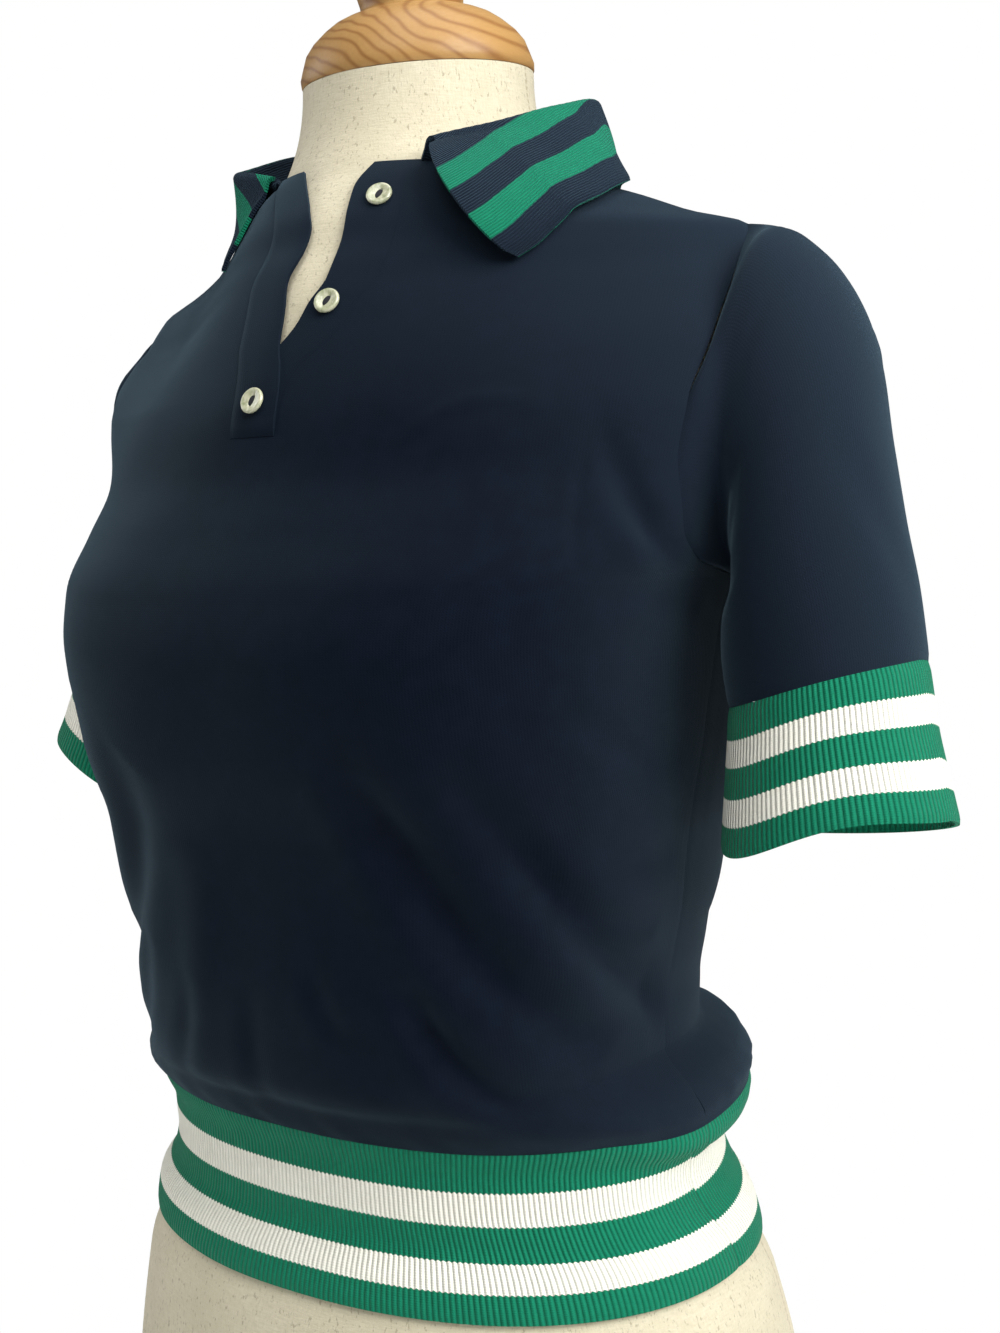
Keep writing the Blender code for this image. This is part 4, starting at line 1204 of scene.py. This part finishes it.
# %% [markdown]
# ## Collar
# A collar is one strip: it rises from the neckline as the stand, rolls over its fold and falls to
# its edge. Its line is drawn at a few stations round the neck and read smoothly between them, as a
# collar cut flat and folded would lie. V is measured from its edge, so the stripes keep their
# distance from it all round.

# %% Collar table
# Stations run from the wearer's left front end, round the back, to the right front end.
COLLAR = Table(
    ("station", "seam_angle", "fold_angle", "fold_radius", "fold_height", "edge_angle", "edge_radius",
     "edge_height"),
    [
        (0.00, -55, -52, 77, 495, -36, 119, 424),
        (0.12, -35, -33, 78, 501, -23, 121, 436),
        (0.25, -8, -6, 80, 513, -4, 114, 460),
        (0.36, 25, 25, 81, 524, 27, 92, 483),
        (0.50, 90, 90, 74, 531, 90, 95, 489),
        (0.64, 155, 155, 81, 523, 153, 92, 483),
        (0.75, 188, 186, 79, 513, 186, 98, 458),
        (0.88, 213, 210, 88, 500, 211, 91, 437),
        (0.94, 224, 221, 81, 496, 222, 94, 429),
        (1.00, 234, 231, 72, 492, 230, 98, 420),
    ],
)
FOLD_RADIUS = 3.5
COLLAR_LIFT = 5.6
LEFT_END_BOW, LEFT_END_REACH = 16.0, 0.09
RIGHT_END_HOLLOW, RIGHT_END_REACH = 5.0, 0.14
FALL_SWELL = 1.6
print(len(COLLAR.rows), "stations round the neck")


# %% Points round the neck
def round_neck(degrees, radius, height):
    """A point this way and this far from the middle of the neck."""
    angle = math.radians(degrees)
    middle_y = NECK_TOP_CENTRE[1]
    return np.array([radius * math.cos(angle), middle_y + radius * math.sin(angle), height])


def neckline_point(degrees):
    """The neckline's own point that way."""
    angle = math.radians(degrees)
    face = "front" if math.sin(angle) < 0 else "back"
    half_width = TORSO.at("half_width", NECKLINE)
    radius = 1 / math.hypot(math.cos(angle) / half_width, math.sin(angle) / half_depth(NECKLINE, face))
    side_y = TORSO.at("side_y", NECKLINE)
    return np.array([radius * math.cos(angle), side_y + radius * math.sin(angle), NECKLINE])


def clear_of_shoulder(point, gap):
    """A point moved outwards, on its level, until it stands this far outside the sweater."""
    x, y, z = point
    if z > NECKLINE:
        return point
    heights = np.linspace(SLOT_BOTTOM, NECKLINE, 200)
    height = float(np.interp(z, heights - shoulder_drop(x, heights), heights))
    side_y = float(TORSO.at("side_y", height))
    face = "front" if y < side_y else "back"
    square = TORSO.at(face + "_square", height)
    across = abs(x) / (TORSO.at("half_width", height) + gap)
    out = (across**square + (abs(y - side_y) / (half_depth(height, face) + gap)) ** square) ** (1 / square)
    grow = max(1.0, 1 / out)
    return np.array([x * grow, side_y + (y - side_y) * grow, z])


print("the neckline's left side is at", neckline_point(0).round(1))


# %% The collar's line
def collar_path(station):
    """The collar's line at one station, from its edge up the fall, over the fold and down the stand."""
    value = {name: float(COLLAR.at(name, station)) for name in COLLAR.columns}
    top = round_neck(value["fold_angle"], value["fold_radius"], value["fold_height"])
    edge = round_neck(value["edge_angle"], value["edge_radius"], value["edge_height"])
    edge[2] = max(edge[2], shoulder_height(edge[0], edge[1]) + COLLAR_LIFT)
    outward = (edge - top) * [1, 1, 0]
    outward /= np.linalg.norm(outward)
    centre = top - [0, 0, FOLD_RADIUS]
    turns = np.linspace(0.25, math.pi, 15)
    roll = [centre + FOLD_RADIUS * (outward * math.cos(turn) + [0, 0, math.sin(turn)]) for turn in turns]
    start = np.array(roll[0])
    share = np.linspace(0, 1, 24)[:-1, None]
    swell = np.sin(np.pi * share)
    forward = np.array([outward[1], -outward[0], 0])
    at_left = math.exp(-((station / LEFT_END_REACH) ** 2))
    at_right = math.exp(-(((1 - station) / RIGHT_END_REACH) ** 2))
    bow = FALL_SWELL * outward * swell
    bow = bow + LEFT_END_BOW * at_left * forward * swell**0.5
    bow = bow - RIGHT_END_HOLLOW * at_right * outward * swell
    fall = edge * (1 - share) + start * share + bow
    fall = [clear_of_shoulder(point, COLLAR_LIFT * 0.6) for point in fall]
    return np.array([*fall, *roll, neckline_point(value["seam_angle"])]), len(fall) + len(roll) // 2


print("the left end's edge is at", collar_path(0)[0][0].round(1))

# %% Collar
COLLAR_ROWS = 52
COLLAR_COLUMNS = 190
FALL_MIDDLE_ROW = 24
COLLAR_UNEVEN = 0.3
columns, drops = [], []
for station in np.linspace(0, 1, COLLAR_COLUMNS):
    path, crest = collar_path(station)
    distances = np.linspace(0, along(path)[-1], COLLAR_ROWS)
    columns.append(redrawn(path, distances))
    fold = along(path)[crest]
    drops.append(np.where(distances > fold, distances + max(0, COLLAR_STRIPES_END - fold), distances))
collar = Skin(np.array(columns).transpose(1, 0, 2))
uv = panel_uv(collar, 0.0)
uv[..., 0] = uv[FALL_MIDDLE_ROW, :, 0]
uv[..., 1] = np.array(drops).T
collar.press(unevenness(collar, COLLAR_UNEVEN))
rounded_edge(collar, 0, 1, EDGE_ROLL)
piece = sheet("collar_knit", collar, RIB_WALL, COLLAR_KNIT, uv)
declare(piece, "collar")

# %% [markdown]
# ## Plackets
# A polo opens on two narrow strips sewn into a slot in the front. They follow the front's own
# sections between their free edge and their seam. The wearer's right one lies over the left one
# where it is buttoned, and above that they part in uneven curves.

# %% Plackets
PLACKET_TURN_IN = 2.0
PLACKET_LAP = 1.0
PLACKET_COLUMNS = 14
OVER_GROOVE, OVER_GROOVE_WIDTH = 0.9, 2.0
UNDER_GROOVE, UNDER_GROOVE_WIDTH = 0.12, 1.6


def placket_skin(side):
    """A strip of the front's own surface between the placket's free edge and its seam."""
    foot = SLOT_BOTTOM - (PLACKET_TURN_IN if side == "over" else 0)
    heights = between([foot, SHOULDER, NECKLINE], 2.0)
    lines = []
    for height in heights:
        edge, seam = float(OPENING.at(side + "_edge", height)), placket_seam(side, height)
        if side == "over":
            seam -= PLACKET_LAP
        start, stop = sorted((angle_at_x(height, edge), angle_at_x(height, seam)))
        lines.append(stretch(height, "front", start, stop, PLACKET_COLUMNS))
    return Skin(lines)


under = placket_skin("under")
uv = panel_uv(under, SLOT_BOTTOM)
groove = seam_groove(under, ["last_column"], UNDER_GROOVE, UNDER_GROOVE_WIDTH)
under.press(unevenness(under, RIB_UNEVEN) + groove)
placket = sheet("placket_under_jersey", under, KNIT, JERSEY, uv)
declare(placket, "placket_under")
over = placket_skin("over")
uv = panel_uv(over, SLOT_BOTTOM)
over.press(0.2 - KNIT + 0 * over.points[..., 0])
groove = seam_groove(over, ["first_column", "first_row"], OVER_GROOVE, OVER_GROOVE_WIDTH)
over.press(unevenness(over, RIB_UNEVEN) + groove)
placket = sheet("placket_over_jersey", over, KNIT, JERSEY, uv)
declare(placket, "placket_over")

# %% [markdown]
# ## Buttons
# Shell buttons are turned on a lathe, with a rim, a dished face and a cat-eye slot. Spinning a
# profile would do for round rings, but the slot is long and narrow, so a circle is extruded from
# row to row and resized, and its last rows are squeezed across. The cap is made the same way.


# %% Turned pieces
def turned(name, profile, segments, material):
    """A turned solid: a circle extruded and resized from row to row of its profile, then closed."""
    bpy.ops.object.select_all(action="DESELECT")
    radius, height, squeeze = profile[0]
    bpy.ops.mesh.primitive_circle_add(vertices=segments, radius=radius * MM, fill_type="NGON")
    piece = start_piece(name)
    bpy.ops.object.mode_set(mode="EDIT")
    bpy.ops.mesh.select_all(action="SELECT")
    for next_radius, next_height, next_squeeze in profile[1:]:
        bpy.ops.mesh.extrude_region_move(
            TRANSFORM_OT_translate={"value": (0, 0, (next_height - height) * MM)}
        )
        grow = next_radius / radius
        across = grow * next_squeeze / squeeze
        bpy.ops.transform.resize(value=(grow, across, 1), center_override=(0, 0, next_height * MM))
        radius, height, squeeze = next_radius, next_height, next_squeeze
    bpy.ops.mesh.select_all(action="SELECT")
    bpy.ops.mesh.normals_make_consistent(inside=False)
    bpy.ops.object.mode_set(mode="OBJECT")
    bpy.ops.object.shade_smooth()
    piece.data.set_sharp_from_angle(angle=math.radians(60))
    piece.data.materials.append(material)
    return piece


def settle(piece, matrix):
    """Puts a turned piece in its place, with the place in its mesh."""
    piece.data.transform(matrix)
    piece.data.update()


def axes(across, upwards, out, place):
    """A placing matrix from three directions and a place in millimetres above the hem."""
    spot = (np.array(place) + [0, 0, HEM_ABOVE_BASE]) * MM
    rows = [[across[k], upwards[k], out[k], spot[k]] for k in range(3)]
    return Matrix([*rows, [0, 0, 0, 1]])


print("turned pieces are made of rings of radius, height and squeeze")

# %% Buttons
# Rows of a turned piece are its radius, its height and how narrow the ring is across.
BUTTON_PROFILE = [
    (4.9, 0, 1),
    (5.45, 0.25, 1),
    (5.75, 0.7, 1),
    (5.75, 1.3, 1),
    (5.5, 1.75, 1),
    (5.0, 2.0, 1),
    (4.3, 1.9, 1),
    (3.6, 1.62, 1),
    (3.3, 1.46, 0.9),
    (3.0, 1.38, 0.54),
    (2.75, 1.1, 0.38),
    (2.5, 0.6, 0.32),
]
THREAD_PROFILE = [
    (2.2, -0.2, 0.24),
    (2.35, 0.1, 0.26),
    (2.2, 0.3, 0.26),
    (1.7, 0.42, 0.25),
    (0.8, 0.46, 0.24),
]
BUTTONS = Table(
    ("number", "height", "from_edge", "turn"),
    [
        (1, 470, 13, 68),
        (2, 424, 9.5, 60),
        (3, 383, 11, 72),
    ],
)
BUTTON_STAND = 0.5
BESIDE = 4.0
THREAD_DEPTH = 0.62

for number, height, from_edge, turn in BUTTONS.rows:
    fastened = number == 3
    if fastened:
        x = float(OPENING.at("over_edge", height)) - from_edge
    else:
        x = float(OPENING.at("under_edge", height)) + from_edge
    across = front_point(height, x + BESIDE) - front_point(height, x - BESIDE)
    upwards = front_point(height + BESIDE, x) - front_point(height - BESIDE, x)
    out = np.cross(across, upwards)
    out /= np.linalg.norm(out)
    across /= np.linalg.norm(across)
    upwards = np.cross(out, across)
    centre = front_point(height, x) + (BUTTON_STAND + (KNIT + 0.3) * fastened) * out
    angle = math.radians(turn)
    eye = math.cos(angle) * across + math.sin(angle) * upwards
    beside = np.cross(out, eye)
    button = turned(f"button_{int(number)}_shell", BUTTON_PROFILE, 48, PEARL)
    settle(button, axes(eye, beside, out, centre))
    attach(button, "root")
    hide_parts(f"button_{int(number)}")
    stitch = turned(f"button_{int(number)}_thread", THREAD_PROFILE, 20, THREAD)
    settle(stitch, axes(eye, beside, out, centre + THREAD_DEPTH * out))
    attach(stitch, "root")
print("three shell buttons with their thread")

# %% [markdown]
# ## The dress form
# A dress form is a hollow shell covered in linen, with flat plates at its armholes and a turned cap
# on its neck. Its body follows the sweater from inside, so the cloth lies on it, and bare linen
# shows at the neck, in the opening and below the hem.

# %% Ease and armhole plates
# How far the form lies inside the sweater's outside, and where its flat armhole plates stand.
EASE = Table(
    ("height", "ease"),
    [
        (-130, 0),
        (-20, 0),
        (0, 3.2),
        (25, 4.0),
        (50, 6.2),
        (70, 9),
        (80, 14),
        (105, 16),
        (150, 15),
        (200, 12),
        (250, 6.5),
        (290, 5.8),
        (330, 5.2),
        (380, 3.8),
        (440, 2.7),
        (487, 2.4),
    ],
)
PLATE = Table(("height", "plate_x"), [(287, 156), (330, 150), (400, 152), (452, 154)])
NECK_CURVE = 2.2
PLATE_FOOT = 281.0
print("the neck's top is", round(2 * math.pi * NECK_TOP_RADIUS), "mm round")

# %% Form
FORM_COLUMNS = 180
FORM_HEIGHTS = between([-130, 0, 287, SHOULDER, NECKLINE], 5.0)


def on_neck(points):
    """Tips points forward by the tilt of the neck's top and sets them there."""
    x, y, z = points.T
    tipped_y = y * math.cos(NECK_TILT) - z * math.sin(NECK_TILT)
    tipped_z = y * math.sin(NECK_TILT) + z * math.cos(NECK_TILT)
    return np.stack([x, tipped_y, tipped_z], axis=-1) + [*NECK_TOP_CENTRE, NECK_TOP]


angles = np.linspace(-np.pi / 2, np.pi / 2, 400)
rings = []
for height in FORM_HEIGHTS:
    path = np.concatenate([section(height, "front", angles), section(height, "back", angles)[::-1]])
    rings.append(redrawn(path, np.linspace(0, along(path)[-1], FORM_COLUMNS + 1))[:-1])
body = Skin(rings, wrap=True)
body.points = body.points - body.normals * EASE.at("ease", FORM_HEIGHTS)[:, None, None]
for height, around in zip(FORM_HEIGHTS, body.points):
    if PLATE_FOOT < height < SHOULDER + 1:
        plate = float(PLATE.at("plate_x", height))
        around[:, 0] = np.clip(around[:, 0], -plate, plate)
body.points[0, :, 2] = FORM_HEIGHTS[0]
foot = body.points[-1]
turns = 2 * np.pi * np.arange(FORM_COLUMNS) / FORM_COLUMNS - np.pi
circle = np.stack([NECK_TOP_RADIUS * np.cos(turns), NECK_TOP_RADIUS * np.sin(turns), 0 * turns], axis=-1)
top = on_neck(circle) - [0, 0, 0.3]
neck = []
for height in np.arange(NECKLINE + 3, NECK_TOP - 3, 3.0):
    share = 1 - (1 - (height - NECKLINE) / (NECK_TOP - NECKLINE)) ** NECK_CURVE
    middle = foot * (1 - share) + top * share
    middle[:, 2] = height
    neck.append(middle)
form = Skin(np.concatenate([body.points, np.array(neck), top[None]]), wrap=True)
closed = np.concatenate([form.points, form.points[:, :1]], axis=1)
bpy.ops.object.select_all(action="DESELECT")
rows, columns = closed.shape[:2]
bpy.ops.mesh.primitive_grid_add(x_subdivisions=columns - 1, y_subdivisions=rows - 1, size=1)
torso = start_piece("form_linen")
torso.data.vertices.foreach_set("co", ((closed.reshape(-1, 3) + [0, 0, HEM_ABOVE_BASE]) * MM).ravel())
bpy.ops.object.mode_set(mode="EDIT")
bpy.ops.mesh.select_all(action="SELECT")
bpy.ops.mesh.remove_doubles(threshold=1e-6)
bpy.ops.mesh.select_all(action="DESELECT")
bpy.ops.mesh.select_mode(type="EDGE")
bpy.ops.mesh.select_non_manifold()
bpy.ops.mesh.edge_face_add()
bpy.ops.mesh.select_all(action="SELECT")
bpy.ops.mesh.normals_make_consistent(inside=False)
bpy.ops.object.mode_set(mode="OBJECT")
bpy.ops.object.shade_smooth()
torso.data.set_sharp_from_angle(angle=math.radians(40))
torso.data.materials.append(LINEN)
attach(torso, "root")
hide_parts("form_torso")
print("form", len(torso.data.polygons), "faces")

# %% [markdown]
# ## Cap
# The cap closes the neck. It is turned as the buttons are, tipped with the neck's top, and its place
# is then put into its mesh, so that the rings of the wood stay where they are.

# %% Cap
CAP_PROFILE = [
    (NECK_TOP_RADIUS, 0, 1),
    (NECK_TOP_RADIUS + 0.4, 1.0, 1),
    (NECK_TOP_RADIUS + 0.6, 4, 1),
    (53.6, 8, 1),
    (51.5, 14, 1),
    (48.0, 18.6, 1),
    (42.5, 23.5, 1),
    (37.8, 26.8, 1),
    (33, 29, 1),
    (28.4, 30.6, 1),
    (25, 31.5, 1),
    (24, 33, 1),
    (24.2, 35.5, 1),
    (25.4, 40, 1),
    (25.0, 43.5, 1),
    (23.5, 47, 1),
    (20.8, 49.8, 1),
    (17, 52, 1),
    (12.6, 53.6, 1),
    (8, 54.4, 1),
    (3, 54.7, 1),
]

cap = turned("neck_cap_pine", CAP_PROFILE, 96, WOOD)
tilt = Matrix.Rotation(NECK_TILT, 4, "X")
place = Matrix.Translation(Vector([NECK_TOP_CENTRE[0], NECK_TOP_CENTRE[1], NECK_TOP + HEM_ABOVE_BASE]) * MM)
settle(cap, place @ tilt)
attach(cap, "root")
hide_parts("form_cap")
print("cap", len(cap.data.polygons), "faces")

# %% [markdown]
# ## Stage, lights and camera
# Navy cloth shows its form only by soft, wide light, so large discs stand round it: the strongest at
# the wearer's left, a weaker one in front, one overhead and one at the far side. Only the camera
# sees the surround at its full white, which lights the cloth no more than faintly.

# %% Stage
bpy.ops.mesh.primitive_plane_add(size=8)
floor = start_piece("floor")
floor_material, tree, shader = new_material("white_floor", Roughness=0.9)
shader.inputs["Base Color"].default_value = colour("f2f2f2")
glow = add(tree, "Emission", {"Color": (1, 1, 1, 1), "Strength": 1.0})
seen = add(tree, "LightPath", {}, "Is Camera Ray")
surface = add(tree, "MixShader", {0: seen, 1: shader.outputs[0], 2: glow})
tree.links.new(surface, tree.nodes["Material Output"].inputs["Surface"])
floor.data.materials.append(floor_material)

world = bpy.context.scene.world or bpy.data.worlds.new("surround")
bpy.context.scene.world = world
world.use_nodes = True
tree = world.node_tree
tree.nodes.clear()
seen = add(tree, "LightPath", {}, "Is Camera Ray")
strength = add(tree, "MapRange", {0: seen, 3: 0.12, 4: 1.0})
background = add(tree, "Background", {"Color": (1, 1, 1, 1), "Strength": strength})
output = tree.nodes.new("ShaderNodeOutputWorld")
tree.links.new(background, output.inputs["Surface"])
print("surround", world.name)


# %% Lights
def soft_light(name, azimuth, elevation, distance, size, power):
    """An area light that faces the middle of the form. Azimuth is 0 in front and 90 at the wearer's left."""
    turn, rise = math.radians(azimuth), math.radians(elevation)
    back = Vector((math.sin(turn) * math.cos(rise), -math.cos(turn) * math.cos(rise), math.sin(rise)))
    bpy.ops.object.light_add(type="AREA", location=Vector((0, 0, 0.4)) + back * distance)
    light = bpy.context.active_object
    light.name = name
    light.rotation_mode = "QUATERNION"
    light.rotation_quaternion = back.to_track_quat("Z", "Y")
    light.data.shape = "DISK"
    light.data.size = size
    light.data.energy = power


soft_light("side_window", 84, 34, 1.8, 1.4, 45)
soft_light("front_window", 20, 52, 1.9, 1.3, 13)
soft_light("overhead", 90, 84, 1.7, 1.4, 11)
soft_light("far_side", -74, 22, 1.9, 1.4, 10)
print(len(bpy.data.lights), "lights")

# %% Camera
CAMERA_TURN, CAMERA_PITCH = math.radians(36.1), math.radians(5.1)
CAMERA_YAW, CAMERA_ROLL = math.radians(-2.1), math.radians(-1.9)
CAMERA_DISTANCE, CAMERA_HEIGHT = 794.2, 331.9 + HEM_ABOVE_BASE
LENS = 44.56
heading = CAMERA_TURN + CAMERA_YAW
forward = math.cos(CAMERA_PITCH)
ahead = Vector((-math.sin(heading) * forward, math.cos(heading) * forward, -math.sin(CAMERA_PITCH)))
right = ahead.cross(Vector((0, 0, 1))).normalized()
above = right.cross(ahead)
level = right * math.cos(CAMERA_ROLL) + above * math.sin(CAMERA_ROLL)
upright = above * math.cos(CAMERA_ROLL) - right * math.sin(CAMERA_ROLL)
level_place = (math.sin(CAMERA_TURN) * CAMERA_DISTANCE, -math.cos(CAMERA_TURN) * CAMERA_DISTANCE)
spot = Vector((*level_place, CAMERA_HEIGHT)) * MM
turning = Matrix([level, upright, -ahead]).transposed().to_4x4()
bpy.ops.object.camera_add()
camera = bpy.context.active_object
camera.matrix_world = Matrix.Translation(spot) @ turning
camera.data.lens = LENS
camera.data.sensor_width = 36
camera.data.clip_start = 0.01
bpy.context.scene.camera = camera
bpy.context.scene.view_settings.view_transform = "Standard"
print("camera", [round(v, 3) for v in camera.matrix_world.translation])
